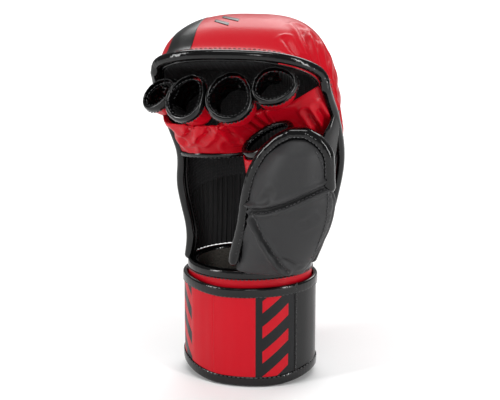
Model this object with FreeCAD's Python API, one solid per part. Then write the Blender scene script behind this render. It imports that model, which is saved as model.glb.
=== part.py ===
"""Right-hand sparring glove for mixed martial arts, as an assembly of its sewn pieces.

Millimetres.  +Z runs from the wrist to the knuckles, the palm faces -Y and the thumb is at +X.
The origin is the centre of the wrist opening, in the plane that the cuff's lower rim stands on.

The glove is an oval cuff with a wrap-around strap, a thick pad over the back of the hand that
curls forward over the knuckles, four finger stalls under the pad's front lip, an open palm with
one red band across it, and a padded thumb that folds at the cuff's front rim.
Neighbouring layers keep `GAP` between them, so each piece is a solid of its own.
"""

import FreeCAD
import Part
import math
import os

V = FreeCAD.Vector

# ---------------------------------------------------------------- driving dimensions
GAP = 0.25                 # between two layers that lie on each other
MOVE_GAP = 0.35            # between two pieces that move against each other
LEATHER = 1.2              # outer leather
LINING = 0.9               # inner knit or terry lining
SEAM_GAP = 0.4             # between the ends of two panels that meet at a seam
REACH = 300.0              # half size of a cutting block, larger than the glove

# cuff: an oval tube, half widths of the free opening
CUFF_HALF_WIDTH = 41.0
CUFF_HALF_DEPTH = 32.0
CUFF_PADDING = 3.0         # neoprene core of the cuff
CUFF_TOP_Z = 89.0          # upper rim at the glove's middle
CUFF_TOP_SLOPE = 0.03      # the upper rim rises towards the thumb
RIM_FLAT_X = (-12.0, 20.0) # the lower rim stands on the ground between these places ...
RIM_LIFT_RADIUS = 90.0     # ... and lifts along an arc at each end
BINDING_HEIGHT = 7.5       # glossy tape folded over a rim
BINDING_PROUD = 0.8        # how far the tape stands out of what it binds

# strap: wraps the cuff from the seam at the thumb side, over the palm side, to the back
STRAP_THICKNESS = 2.4
STRAP_TOP_Z = CUFF_TOP_Z - 12.5
STRAP_TOP_SLOPE = 0.035
STRAP_BOTTOM_LIFT = 0.8    # keeps the strap off the ground that the cuff stands on
STRAP_SEAM_DEG = -39.0     # where the strap is sewn to the fixed side panel
STRAP_FOLDS_DEG = (-75.5, -152.0, -205.0)   # seams between the strap's panels, where it bends
STRAP_END_DEG = -262.0
SIDE_PANEL_END_DEG = 80.0  # the fixed side panel ends here, on the back of the wrist
FASTENER = 0.6             # thickness of a hook or loop patch
LOOP_PATCH_DEG = (-268.0, -160.0)
HOOK_INSET_DEG = 4.0       # the hook patch stays this far inside the tab's ends
HOOK_MARGIN_Z = 10.0       # and this far from the strap's edges

# hand: its tables are drawn for a free cuff opening of this half width and half depth, and
# stretch with the opening; their heights are measured from the cuff's upper rim
HAND_STRETCH = (CUFF_HALF_WIDTH / 41.0, CUFF_HALF_DEPTH / 32.0)
PAD_LIFT = 1.0             # the pad starts this far above the cuff's upper rim

# thumb
THUMB_FOAM_INSET = LEATHER + GAP
THUMB_WALL = 3.4           # from the thumb's cavity to the outside of its inner panel
THUMB_BINDING_HALF = 3.5   # half width of the tape round the thumb pad
THUMB_BINDING_PROUD = 1.8  # how far that tape stands out

# stalls
STALL_LENGTH = 18.0
STALL_BINDING_LENGTH = 6.0


# ---------------------------------------------------------------- small helpers
def lerp(a, b, t):
    return a + (b - a) * t


def on_cuff(x, y, z):
    """A point of the hand's tables, stretched with the cuff and standing on its upper rim."""
    return V(x * HAND_STRETCH[0], y * HAND_STRETCH[1], CUFF_TOP_Z + z)


def spline_through(points):
    """Smooth curve through the points, with its parameter running from 0 to 1."""
    curve = Part.BSplineCurve()
    last = len(points) - 1
    curve.interpolate(Points=list(points), Parameters=[i / last for i in range(last + 1)])
    return curve


def closed_wire(points):
    curve = Part.BSplineCurve()
    curve.interpolate(points, PeriodicFlag=True)
    return Part.Wire([curve.toShape()])


def loft(wires, ruled=False):
    return Part.makeLoft(wires, True, ruled)


def spline_face(grid):
    surface = Part.BSplineSurface()
    surface.interpolate(grid)
    return surface


def boundary_edges(surface):
    """The surface's four edges, in the order u low, u high, v low, v high."""
    u0, u1, v0, v1 = surface.bounds()
    return [surface.uIso(u0).toShape(), surface.uIso(u1).toShape(),
            surface.vIso(v0).toShape(), surface.vIso(v1).toShape()]


def sheet_between(grid_a, grid_b):
    """Closed solid between two spline surfaces whose grids have the same size."""
    a, b = spline_face(grid_a), spline_face(grid_b)
    faces = [a.toShape(), b.toShape()]
    for edge_a, edge_b in zip(boundary_edges(a), boundary_edges(b)):
        faces.append(Part.makeRuledSurface(edge_a, edge_b, 1))
    shell = Part.makeCompound(faces)
    shell.sewShape()
    solid = Part.makeSolid(shell.Shells[0])
    if solid.Volume < 0:
        solid.reverse()
    return solid


def outward_box(point, normal):
    """A large block whose one face goes through the point; it lies on the normal's side."""
    normal = V(normal).normalize()
    block = Part.makeBox(2 * REACH, 2 * REACH, 2 * REACH, V(-REACH, -REACH, 0))
    block.Placement = FreeCAD.Placement(V(0, 0, 0), FreeCAD.Rotation(V(0, 0, 1), normal))
    block.translate(point)
    return block


def save(name, shape):
    solids = shape.Solids
    out = solids[0] if len(solids) == 1 else Part.makeCompound(solids)
    valid = all(s.isValid() and s.Volume > 0 for s in solids)
    print(f"{name:28s} solids {len(solids)}  volume {out.Volume:10.1f}  valid {valid}")
    out.exportStep(f"parts/{name}.step")
    return out


# ---------------------------------------------------------------- cuff and strap
# Radial places of the cuff's layers, measured outwards from the free opening.
LINING_IN = 0.0
LINING_OUT = LINING_IN + LINING
PADDING_IN = LINING_OUT + GAP
PADDING_OUT = PADDING_IN + CUFF_PADDING
SHELL_IN = PADDING_OUT + GAP
SHELL_OUT = SHELL_IN + LEATHER
LOOP_IN = SHELL_OUT + GAP
LOOP_OUT = LOOP_IN + FASTENER
STRAP_IN = SHELL_OUT + BINDING_PROUD + MOVE_GAP
STRAP_OUT = STRAP_IN + STRAP_THICKNESS
HOOK_IN = LOOP_OUT + MOVE_GAP
HOOK_OUT = HOOK_IN + FASTENER
TAB_IN = HOOK_OUT + GAP
TAB_OUT = TAB_IN + STRAP_THICKNESS


def oval_prism(offset):
    """Oval cylinder of the cuff, grown by the offset, taller than the cuff at both ends."""
    oval = Part.Ellipse(V(0, 0, -20), CUFF_HALF_WIDTH + offset, CUFF_HALF_DEPTH + offset)
    return Part.Face(Part.Wire([oval.toShape()])).extrude(V(0, 0, CUFF_TOP_Z + 50))


def oval_point(offset, degrees, z=0.0):
    angle = math.radians(degrees)
    return V((CUFF_HALF_WIDTH + offset) * math.cos(angle), (CUFF_HALF_DEPTH + offset) * math.sin(angle), z)


def oval_ring(inner, outer):
    return oval_prism(outer).cut(oval_prism(inner))


def rim_arc(flat_x, side, lift):
    """Arc of the lower rim from the end of its flat stretch outwards; side is -1 or 1."""
    def spot(turn):
        return V(flat_x + side * RIM_LIFT_RADIUS * math.sin(turn), -REACH,
                 lift + RIM_LIFT_RADIUS * (1 - math.cos(turn)))
    return Part.Arc(spot(0), spot(math.radians(30)), spot(math.radians(60)))


def below_rim(lift):
    """Block under the lower rim, raised by lift: flat in the middle, an arc at each end."""
    little = rim_arc(RIM_FLAT_X[0], -1, lift)
    thumb = rim_arc(RIM_FLAT_X[1], 1, lift)
    low = [V(arc.EndPoint.x, -REACH, -REACH) for arc in (little, thumb)]
    edges = [Part.LineSegment(little.StartPoint, thumb.StartPoint), thumb,
             Part.LineSegment(thumb.EndPoint, low[1]), Part.LineSegment(low[1], low[0]),
             Part.LineSegment(low[0], little.EndPoint), little]
    wire = Part.Wire(Part.__sortEdges__([edge.toShape() for edge in edges]))
    return Part.Face(wire).extrude(V(0, 2 * REACH, 0))


def above_plane(z, slope):
    """Block above the plane that rises along X with the slope and is at height z at x = 0."""
    return outward_box(V(0, 0, z), V(-slope, 0, 1))


def trimmed(ring, low, high, slope):
    """The part of a ring from low above the lower rim up to a sloped plane."""
    return ring.cut(below_rim(low)).cut(above_plane(high, slope))


def sector(ring, from_deg, to_deg):
    """The part of a cuff ring between two angles, going clockwise from from_deg to to_deg."""
    steps = 8
    far = 4 * CUFF_HALF_WIDTH
    corners = [V(0, 0, -50)]
    for i in range(steps + 1):
        angle = math.radians(lerp(from_deg, to_deg, i / steps))
        corners.append(V(far * math.cos(angle), far * math.sin(angle), -50))
    corners.append(corners[0])
    wedge = Part.Face(Part.makePolygon(corners)).extrude(V(0, 0, 300))
    return ring.common(wedge)


def rim_tape(inner, outer, bound_inner, bound_outer, low, high, slope, at_top):
    """U-shaped tape folded over the lower or upper edge of a ring: a band less what it binds."""
    ring = oval_ring(inner - BINDING_PROUD, outer + BINDING_PROUD)
    kept = oval_ring(bound_inner - GAP / 2, bound_outer + GAP / 2)
    if at_top:
        band = ring.cut(above_plane(high, slope)).common(above_plane(high - BINDING_HEIGHT, slope))
        return band.cut(kept.cut(above_plane(high - BINDING_PROUD - GAP, slope)))
    band = ring.cut(below_rim(low)).common(below_rim(low + BINDING_HEIGHT))
    return band.cut(kept.cut(below_rim(low + BINDING_PROUD + GAP)))


def make_cuff():
    """The cuff's lining, padding and leather, with taped rims."""
    low = BINDING_PROUD + GAP * 2
    high = CUFF_TOP_Z - BINDING_PROUD - GAP * 2
    parts = {
        "wrist_lining": trimmed(oval_ring(LINING_IN, LINING_OUT), low, high, CUFF_TOP_SLOPE),
        "cuff_padding": trimmed(oval_ring(PADDING_IN, PADDING_OUT), low, high, CUFF_TOP_SLOPE),
        "cuff_shell": trimmed(oval_ring(SHELL_IN, SHELL_OUT), low, high, CUFF_TOP_SLOPE),
    }
    rim = (LINING_IN, SHELL_OUT, LINING_IN, SHELL_OUT, 0.0, CUFF_TOP_Z, CUFF_TOP_SLOPE)
    parts["cuff_top_binding"] = rim_tape(*rim, at_top=True)
    parts["cuff_bottom_binding"] = rim_tape(*rim, at_top=False)
    patch = trimmed(oval_ring(LOOP_IN, LOOP_OUT), HOOK_MARGIN_Z - 1, STRAP_TOP_Z - HOOK_MARGIN_Z + 1,
                    STRAP_TOP_SLOPE)
    parts["loop_patch"] = sector(patch, *LOOP_PATCH_DEG)
    return parts


def strap_panel(inner, outer, from_deg, to_deg):
    """One panel of the strap, with its upper and lower tapes as one more shape."""
    gap_deg = math.degrees(SEAM_GAP / 2 / CUFF_HALF_WIDTH)
    step = gap_deg if to_deg > from_deg else -gap_deg
    ends = (from_deg + step, to_deg - step)
    low, high = STRAP_BOTTOM_LIFT, STRAP_TOP_Z
    edge = BINDING_PROUD + GAP * 2
    panel = trimmed(oval_ring(inner, outer), low + edge, high - edge, STRAP_TOP_SLOPE)
    # the tape stays off the cuff underneath, so it is proud on the outside only
    tape_in = inner + BINDING_PROUD
    rim = (tape_in, outer, inner, outer, low, high, STRAP_TOP_SLOPE)
    tapes = [sector(rim_tape(*rim, at_top=top), *ends) for top in (True, False)]
    return sector(panel, *ends), Part.makeCompound([s for t in tapes for s in t.Solids])


def make_strap():
    """The strap's panels from the thumb-side seam to the tab, and the fixed side panel."""
    parts = {}
    starts = (STRAP_SEAM_DEG,) + STRAP_FOLDS_DEG
    ends = STRAP_FOLDS_DEG + (STRAP_END_DEG,)
    names = ("strap_striped", "strap_front", "strap_side", "strap_tab")
    for name, start, end in zip(names, starts, ends):
        inner, outer = (TAB_IN, TAB_OUT) if name == "strap_tab" else (STRAP_IN, STRAP_OUT)
        panel, tapes = strap_panel(inner, outer, start, end)
        parts[name + "_panel"] = panel
        parts[name + "_binding"] = tapes
    panel, tapes = strap_panel(STRAP_IN, STRAP_OUT, STRAP_SEAM_DEG, SIDE_PANEL_END_DEG)
    parts["side_panel"] = panel
    parts["side_panel_binding"] = tapes
    hook = trimmed(oval_ring(HOOK_IN, HOOK_OUT), HOOK_MARGIN_Z, STRAP_TOP_Z - HOOK_MARGIN_Z, STRAP_TOP_SLOPE)
    parts["hook_patch"] = sector(hook, STRAP_FOLDS_DEG[-1] - HOOK_INSET_DEG, STRAP_END_DEG + HOOK_INSET_DEG)
    return parts


# ---------------------------------------------------------------- pad over the back of the hand
# Stations from the wrist, up the back of the hand, forward over the knuckles to the front lip.
# Each surface is an arch between its little-finger edge and its thumb edge over its crown.
def rim(x):
    """Height of the pad's first station above the cuff's rim at the glove's middle."""
    return CUFF_TOP_SLOPE * x * HAND_STRETCH[0] + PAD_LIFT


INNER_LITTLE = [(-43.5, -2, rim(-43.5)), (-42.5, -2, 23), (-48.5, -2, 53), (-46.5, -9, 78),
                (-49.5, -17, 98), (-56, -21, 117), (-57, -30, 132), (-55, -41, 143.5), (-52, -50, 150),
                (-50, -56, 154)]
INNER_CROWN = [(0, 34, rim(0)), (0, 37, 28), (0, 38, 61), (0, 35, 93), (1, 25, 120), (2, 6, 137),
               (3, -17, 143), (3, -35, 146), (3, -49, 152), (3, -60, 159)]
INNER_THUMB = [(46, -2, rim(46)), (53.5, 1, 23), (61, 3, 53), (65.5, -2, 81), (65, -13, 104),
               (63, -24, 121), (59.5, -34, 134), (55, -43, 144), (50.5, -49, 150), (46, -54, 154)]
OUTER_CROWN = [(0, 41, rim(0)), (0, 49, 28), (0, 56, 61), (0, 59, 98), (0, 57, 133), (1, 43, 162),
               (2, 16, 179.5), (2, -16, 181), (3, -42, 174), (3, -60, 166)]
EDGE_THICKNESS_BACK = V(4.6, 0, 0)      # from inner to outer edge along the sides of the hand
EDGE_THICKNESS_FRONT = V(1.5, -1.0, 4.0)  # and at the front lip
OUTER_FULLNESS = (0.95, 0.72)           # arch powers at the wrist and over the knuckles,
INNER_FULLNESS = (1.00, 0.76)           # where under 1 squares the arch
THUMB_SIDE_SOFTER = 0.14   # added to the outer power over the knuckles on the thumb side
LIP_THICKNESS = 6.5        # the pad thins to this at its front lip ...
LIP_TAPER_FROM = 0.84      # ... from this share of its length on
CORNER_START = {-1: 0.80, 1: 0.68}      # where the front lip's round corners begin, by side
CORNER_SHAPE = {-1: 0.50, 1: 0.65}
PIPING_OUT = 3.6           # half widths of the piping round the pad's edge
PIPING_THICK = 3.3
PIPING_FLATNESS = 0.9      # 1 would bring the strip's edges to a point
ARCH_STEPS = 14
LENGTH_STEPS = 18
LINER_SEAM = (0.215, 0.219)  # shares of the way up where the ribbed lining ends and the mesh begins
ACCENT_TURNS = (-0.59, -0.25)           # arch angles of the black accent, as shares of a right angle
ACCENT_LENGTHS = (0.04, 0.97)
ACCENT_GAP = 0.4           # the accent follows the pad's surface less closely than a layer under it
ACCENT_THICKNESS = 0.8


def outer_edges():
    last = len(INNER_LITTLE) - 1
    little, thumb = [], []
    for i in range(last + 1):
        out = lerp(EDGE_THICKNESS_BACK, EDGE_THICKNESS_FRONT, (i / last) ** 3)
        little.append(on_cuff(*INNER_LITTLE[i]) + V(-out.x, out.y, out.z))
        thumb.append(on_cuff(*INNER_THUMB[i]) + V(out.x, out.y, out.z))
    return little, thumb


OUTER_LITTLE, OUTER_THUMB = outer_edges()
INNER_CURVES = [spline_through([on_cuff(*p) for p in table])
                for table in (INNER_LITTLE, INNER_CROWN, INNER_THUMB)]
OUTER_CURVES = [spline_through(points)
                for points in (OUTER_LITTLE, [on_cuff(*p) for p in OUTER_CROWN], OUTER_THUMB)]


def arch(curves, turn, along, fullness):
    """Point of an arch; turn runs from -1 at the little-finger edge to 1 at the thumb edge."""
    little, crown, thumb = (c.value(along) for c in curves)
    sine, cosine = math.sin(turn * math.pi / 2), math.cos(turn * math.pi / 2)
    side = math.copysign(abs(sine) ** fullness, sine)
    middle = (little + thumb) / 2
    return middle + (thumb - little) / 2 * side + (crown - middle) * max(0.0, cosine) ** fullness


def lip(turn):
    """Share of the length at which the pad's front lip lies; its corners are rounded."""
    side = -1 if turn < 0 else 1
    cosine = max(0.0, math.cos(turn * math.pi / 2))
    return CORNER_START[side] + (1 - CORNER_START[side]) * cosine ** CORNER_SHAPE[side]


def pad_walls(turn, along):
    """Points on the pad's inner and outer surface, and the unit vector between them."""
    share = along * lip(turn)
    rise = min(1.0, share / 0.5) ** 2
    inside = arch(INNER_CURVES, turn, share, lerp(*INNER_FULLNESS, rise))
    softer = THUMB_SIDE_SOFTER * rise * max(0.0, math.sin(turn * math.pi / 2))
    outside = arch(OUTER_CURVES, turn, share, lerp(*OUTER_FULLNESS, rise) + softer)
    taper = max(0.0, (along - LIP_TAPER_FROM) / (1 - LIP_TAPER_FROM)) ** 2
    thickness = lerp((outside - inside).Length, LIP_THICKNESS, taper)
    unit = (outside - inside).normalize()
    return inside, inside + unit * thickness, unit


def pad_grid(place, turns=(-1.0, 1.0), lengths=(0.0, 1.0)):
    """Grid of points; place turns (inside, outside, unit) into the point of the layer."""
    rows = []
    for i in range(ARCH_STEPS + 1):
        turn = lerp(turns[0], turns[1], i / ARCH_STEPS)
        rows.append([place(*pad_walls(turn, lerp(lengths[0], lengths[1], j / LENGTH_STEPS)))
                     for j in range(LENGTH_STEPS + 1)])
    return rows


def from_inside(depth):
    return lambda inside, outside, unit: inside + unit * depth


def from_outside(height):
    return lambda inside, outside, unit: outside + unit * height


def pad_layer(low, high, **area):
    return sheet_between(pad_grid(low, **area), pad_grid(high, **area))


def piping(stations, half_width, half_thick):
    """Solid strip along stations of (centre, away, across) with a rounded, nearly oval section."""
    sides = []
    for way in (-1, 1):
        rows = []
        for centre, away, across in stations:
            rows.append([centre + away * (half_width * place)
                         + across * (way * half_thick * math.sqrt(1 - (PIPING_FLATNESS * place) ** 2))
                         for place in (-1.0, -0.6, 0.0, 0.6, 1.0)])
        sides.append(rows)
    return sheet_between(*sides)


def piping_path():
    """Stations round the pad's edge: centre, direction away from the pad, and across it."""
    def middle(turn, along):
        inside, outside, unit = pad_walls(turn, along)
        return (inside + outside) / 2, unit
    stops = [(-1.0, j / 10) for j in range(10)]
    stops += [(-math.cos(math.pi * i / 18), 1.0) for i in range(19)]
    stops += [(1.0, 1 - j / 10) for j in range(1, 11)]
    spots = [middle(*stop) for stop in stops]
    stations = []
    for i, (centre, unit) in enumerate(spots):
        before, after = spots[max(i - 1, 0)][0], spots[min(i + 1, len(spots) - 1)][0]
        tangent = (after - before).normalize()
        away = tangent.cross(unit).normalize()
        across = tangent.cross(away).normalize()
        stations.append((centre + away * (PIPING_OUT + GAP), away, across))
    return stations


def round_section(centre, axis_a, half_a, axis_b, half_b, steps=12):
    ring = []
    for k in range(steps):
        angle = 2 * math.pi * k / steps
        ring.append(centre + axis_a * (half_a * math.cos(angle)) + axis_b * (half_b * math.sin(angle)))
    return closed_wire(ring)


def make_pad():
    """Lining, foam, leather, accent panel and edge piping of the pad."""
    foam_in = LINING + GAP
    foam_out = LEATHER + GAP
    parts = {
        "back_lining_ribbed": pad_layer(from_inside(0), from_inside(LINING), lengths=(0.0, LINER_SEAM[0])),
        "knuckle_lining_mesh": pad_layer(from_inside(0), from_inside(LINING), lengths=(LINER_SEAM[1], 1.0)),
        "back_pad_foam": pad_layer(from_inside(foam_in), from_outside(-foam_out)),
        "back_pad_shell": pad_layer(from_outside(-LEATHER), from_outside(0)),
        "accent_panel": pad_layer(from_outside(ACCENT_GAP), from_outside(ACCENT_GAP + ACCENT_THICKNESS),
                                  turns=ACCENT_TURNS, lengths=ACCENT_LENGTHS),
    }
    parts["pad_edge_piping"] = piping(piping_path(), PIPING_OUT, PIPING_THICK)
    return parts


# ---------------------------------------------------------------- finger stalls
# name: opening centre, way the finger points, half width and half height there, roll in degrees
STALLS = {
    "little": ((-56.1, -47.2, 122.9), (-0.42, -0.76, 0.50), 12.0, 9.5, 42.0),
    "ring": ((-32.0, -58.0, 127.5), (-0.26, -0.85, 0.46), 13.2, 13.2, 25.0),
    "middle": ((-1.5, -60.0, 128.5), (-0.06, -0.88, 0.46), 14.4, 13.5, 12.0),
    "index": ((28.9, -56.0, 137.5), (0.08, -0.88, 0.47), 14.2, 11.0, 10.0),
}
STALL_BASE_SHARE = 0.88    # the base of a stall is this much of its opening
STALL_LEATHER = 1.3
STALL_TAPE_INSIDE = 0.4    # how far the mouth's tape reaches inside the lining


def stall_axes(direction, roll):
    """Width and height axes of a stall's sections, rolled about the finger's direction."""
    out = V(*direction).normalize()
    width = V(0, 0, 1).cross(out).normalize()
    turn = FreeCAD.Rotation(out, roll)
    return out, turn.multVec(width), turn.multVec(out.cross(width).normalize())


def stall_body(stall, grow, start, end):
    """Solid cone-like stall from start to end along the finger, measured from the opening."""
    centre, direction, half_width, half_height, roll = stall
    out, width, height = stall_axes(direction, roll)
    wires = []
    for place in (start, end):
        share = lerp(1.0, STALL_BASE_SHARE, -place / STALL_LENGTH)
        wires.append(round_section(on_cuff(*centre) + out * place,
                                   width, half_width * HAND_STRETCH[0] * share + grow,
                                   height, half_height * HAND_STRETCH[1] * share + grow))
    return loft(wires, ruled=True)


def stall_tube(stall, outer, inner, start, end):
    return stall_body(stall, outer, start, end).cut(stall_body(stall, inner, start - 1, end + 1))


def make_stalls():
    """Leather tube, knit lining and glossy tape of each finger stall."""
    parts = {}
    lining_out = -STALL_LEATHER - GAP
    lining_in = lining_out - LINING
    for name, stall in STALLS.items():
        parts[name + "_stall_leather"] = stall_tube(stall, 0, -STALL_LEATHER, -STALL_LENGTH, 0)
        parts[name + "_stall_lining"] = stall_tube(stall, lining_out, lining_in, -STALL_LENGTH, 0)
        parts[name + "_stall_binding"] = stall_tube(stall, BINDING_PROUD, lining_in - STALL_TAPE_INSIDE, GAP,
                                                    GAP + STALL_BINDING_LENGTH)
    return parts


# ---------------------------------------------------------------- palm side
PALM_THICKNESS = 2.4
PALM_LOW = [(-46.5, -19.5, 82.5), (-40, -27, 84), (-25, -32, 85), (-6, -30, 86), (12, -24, 87.5),
            (35, -20, 89), (57, -15, 91)]
PALM_HIGH = [(-51, -33, 102.5), (-43, -41, 103.8), (-26, -46, 103.5), (-8, -41, 103), (10, -27, 104),
             (35, -24, 107), (58, -26, 110)]
PALM_BAND_PIPING = 2.6
GUSSET_LOW = [(36, -28, 112), (47, -28, 112.5), (57, -28, 114)]
GUSSET_HIGH = [(46, -45, 137), (52, -42, 137.5), (57, -38, 134)]


def sheet_grid(low, high, steps_across, steps_up, depth):
    """Grid from one curve to another, moved by depth square to the sheet."""
    low_curve, high_curve = (spline_through([on_cuff(*p) for p in table]) for table in (low, high))
    rows = []
    for i in range(steps_across + 1):
        t = i / steps_across
        a, b = low_curve.value(t), high_curve.value(t)
        along = (low_curve.value(min(1, t + 0.01)) - low_curve.value(max(0, t - 0.01))).normalize()
        normal = along.cross(b - a).normalize()
        rows.append([lerp(a, b, j / steps_up) + normal * depth for j in range(steps_up + 1)])
    return rows


def make_palm():
    """The red band across the palm, its piping, and the side gusset by the index finger."""
    across, up = 14, 3
    band = sheet_between(sheet_grid(PALM_LOW, PALM_HIGH, across, up, 0),
                         sheet_grid(PALM_LOW, PALM_HIGH, across, up, PALM_THICKNESS))
    gusset = sheet_between(sheet_grid(GUSSET_LOW, GUSSET_HIGH, 6, up, 0),
                           sheet_grid(GUSSET_LOW, GUSSET_HIGH, 6, up, PALM_THICKNESS))
    curve = spline_through([on_cuff(*p) for p in PALM_LOW])
    middle = sheet_grid(PALM_LOW, PALM_HIGH, 18, 1, PALM_THICKNESS / 2)
    stations = []
    for i, (low, high) in enumerate(middle):
        up_way = (high - low).normalize()
        t = i / 18
        along = (curve.value(min(1, t + 0.01)) - curve.value(max(0, t - 0.01))).normalize()
        stations.append((low - up_way * (PALM_BAND_PIPING + GAP), up_way, along.cross(up_way).normalize()))
    tape = piping(stations, PALM_BAND_PIPING, PALM_BAND_PIPING)
    return {"palm_band": band, "palm_band_piping": tape, "index_side_gusset": gusset}


# ---------------------------------------------------------------- thumb
# heights, and the pad's outline there: centre x, centre y, half width, half depth
THUMB_PAD = [(3, 21.5, -42, 27, 12), (15, 27, -43, 29.5, 18), (36, 34.5, -45, 32, 21.5),
             (59, 38.5, -48, 33, 22.5), (81, 41, -51, 29.8, 21), (97, 45, -52.5, 24.6, 18),
             (107, 47, -53, 15.5, 12), (112, 48, -53, 6, 5)]
THUMB_BACK_DEPTH = 0.6     # depth of the pad's back as a share of its front's
# the space for the thumb: height, centre x, centre y, half width, half depth
THUMB_ROOM = [(-1, 27, -33, 15, 10), (36, 30, -38, 15.5, 11.5), (71, 26.5, -42, 16, 12),
              (96, 23.5, -45, 16.5, 12), (126, 17, -49, 16.5, 12)]
THUMB_SPLIT = ((0, -41.5, 2), V(0, 1, 0.10))   # plane between the pad's front and its back
THUMB_MOUTH = ((24, -45, 98.5), V(-0.45, -0.35, 0.82))  # plane of the thumb's opening
THUMB_LIFT = 3.5           # the thumb starts this far above the cuff's upper rim
THUMB_MOUTH_TAPE = 5.5


def stacked(table, grow, back=1.0, cap=0.0):
    """Loft through level oval sections of a table, each grown by grow; back shares their depth."""
    wires = []
    for z, x, y, half_x, half_y in table:
        centre = on_cuff(x, y, z + (cap if z > table[0][0] else 0.0))
        ring = []
        for k in range(16):
            angle = 2 * math.pi * k / 16
            width = half_x * HAND_STRETCH[0] + grow
            depth = half_y * HAND_STRETCH[1] * (back if math.sin(angle) > 0 else 1.0) + grow
            ring.append(centre + V(width * math.cos(angle), depth * math.sin(angle), 0))
        wires.append(closed_wire(ring))
    return loft(wires)


def thumb_pad(grow):
    return stacked(THUMB_PAD, grow, back=THUMB_BACK_DEPTH, cap=grow)


def behind_split(offset):
    """Block behind the plane between the thumb pad's front and back, moved back by offset."""
    point, normal = THUMB_SPLIT
    unit = V(normal).normalize()
    return outward_box(on_cuff(*point) + unit * offset, unit)


def make_thumb():
    """Padded front, back panel, inner tube, lining and tapes of the thumb."""
    floor = outward_box(on_cuff(0, 0, THUMB_LIFT), V(0, 0, -1))
    mouth_point = on_cuff(*THUMB_MOUTH[0])
    mouth_unit = V(THUMB_MOUTH[1]).normalize()
    past_mouth = outward_box(mouth_point, mouth_unit)
    tape_start = outward_box(mouth_point + mouth_unit * GAP, mouth_unit)
    past_tape = outward_box(mouth_point + mouth_unit * (THUMB_MOUTH_TAPE + GAP), mouth_unit)
    room = stacked(THUMB_ROOM, 0)
    tube_outer = stacked(THUMB_ROOM, THUMB_WALL)
    room_clear = stacked(THUMB_ROOM, THUMB_WALL + GAP)
    front_cut = behind_split(-THUMB_BINDING_HALF - GAP)
    back_cut = behind_split(THUMB_BINDING_HALF + GAP)

    skin = thumb_pad(0).cut(thumb_pad(-LEATHER)).cut(room_clear).cut(floor)
    foam = thumb_pad(-THUMB_FOAM_INSET).cut(room_clear).cut(floor)
    tape = thumb_pad(THUMB_BINDING_PROUD).cut(thumb_pad(-LEATHER))
    tape = tape.common(behind_split(-THUMB_BINDING_HALF)).cut(behind_split(THUMB_BINDING_HALF))
    tube = tube_outer.cut(stacked(THUMB_ROOM, LINING + GAP)).cut(past_mouth).cut(floor)
    lining = stacked(THUMB_ROOM, LINING).cut(room).cut(past_mouth).cut(floor)
    mouth = tube_outer.cut(room).common(tape_start).cut(past_tape)
    return {
        "thumb_pad_shell": skin.cut(front_cut),
        "thumb_back_panel": skin.common(back_cut),
        "thumb_pad_foam": foam,
        "thumb_pad_binding": tape.cut(room_clear).cut(floor),
        "thumb_inner_panel": tube,
        "thumb_lining": lining,
        "thumb_mouth_binding": mouth,
    }


# ---------------------------------------------------------------- the glove
def main():
    os.makedirs("parts", exist_ok=True)
    made = {}
    for group in (make_cuff, make_strap, make_pad, make_stalls, make_palm, make_thumb):
        for name, shape in group().items():
            made[name] = save(name, shape)
    print(len(made), "nodes")
    return made


MADE = main()
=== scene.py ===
"""Looks of a right-hand sparring glove for mixed martial arts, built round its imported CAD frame.

Tables are in millimetres, as in the CAD source; meshes are in metres in the same frame.
"""
import logging
import math
from dataclasses import dataclass, field, replace
from enum import Enum

import bpy
import numpy as np
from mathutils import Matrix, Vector


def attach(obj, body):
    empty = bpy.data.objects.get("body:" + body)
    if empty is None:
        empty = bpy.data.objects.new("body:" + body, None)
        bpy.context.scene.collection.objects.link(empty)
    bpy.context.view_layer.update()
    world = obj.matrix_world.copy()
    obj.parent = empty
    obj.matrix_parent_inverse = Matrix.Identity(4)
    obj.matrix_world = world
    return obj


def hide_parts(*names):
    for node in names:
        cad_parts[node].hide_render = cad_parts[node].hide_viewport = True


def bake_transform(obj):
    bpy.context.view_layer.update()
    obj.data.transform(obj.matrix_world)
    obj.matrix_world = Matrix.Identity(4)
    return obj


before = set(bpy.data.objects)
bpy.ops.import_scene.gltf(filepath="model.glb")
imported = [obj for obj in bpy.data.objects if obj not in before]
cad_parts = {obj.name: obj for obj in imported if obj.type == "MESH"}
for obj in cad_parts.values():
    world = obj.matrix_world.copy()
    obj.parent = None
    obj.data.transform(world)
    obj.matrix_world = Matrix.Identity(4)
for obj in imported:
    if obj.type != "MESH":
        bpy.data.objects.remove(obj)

log = logging.getLogger("glove")
MM = 0.001
CUFF_HALF = (41.0, 32.0)          # free half width and half depth of the oval cuff
CUFF_TOP, CUFF_SLOPE = 89.0, 0.03
STRAP_TOP, STRAP_SLOPE = 76.5, 0.035
RIM_FLAT, RIM_RADIUS = (-12.0, 20.0), 90.0
STRAP_IN, STRAP_OUT, TAB_STEP = 6.75, 9.15, 0.9
SEAM_DEG, FOLDS_DEG, END_DEG, BACK_END_DEG = -39.0, (-75.5, -152.0, -205.0), -262.0, 80.0
CUTS_DEG = (-113.0, -178.0)        # where one stretch of the strap hands over to the next


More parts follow.
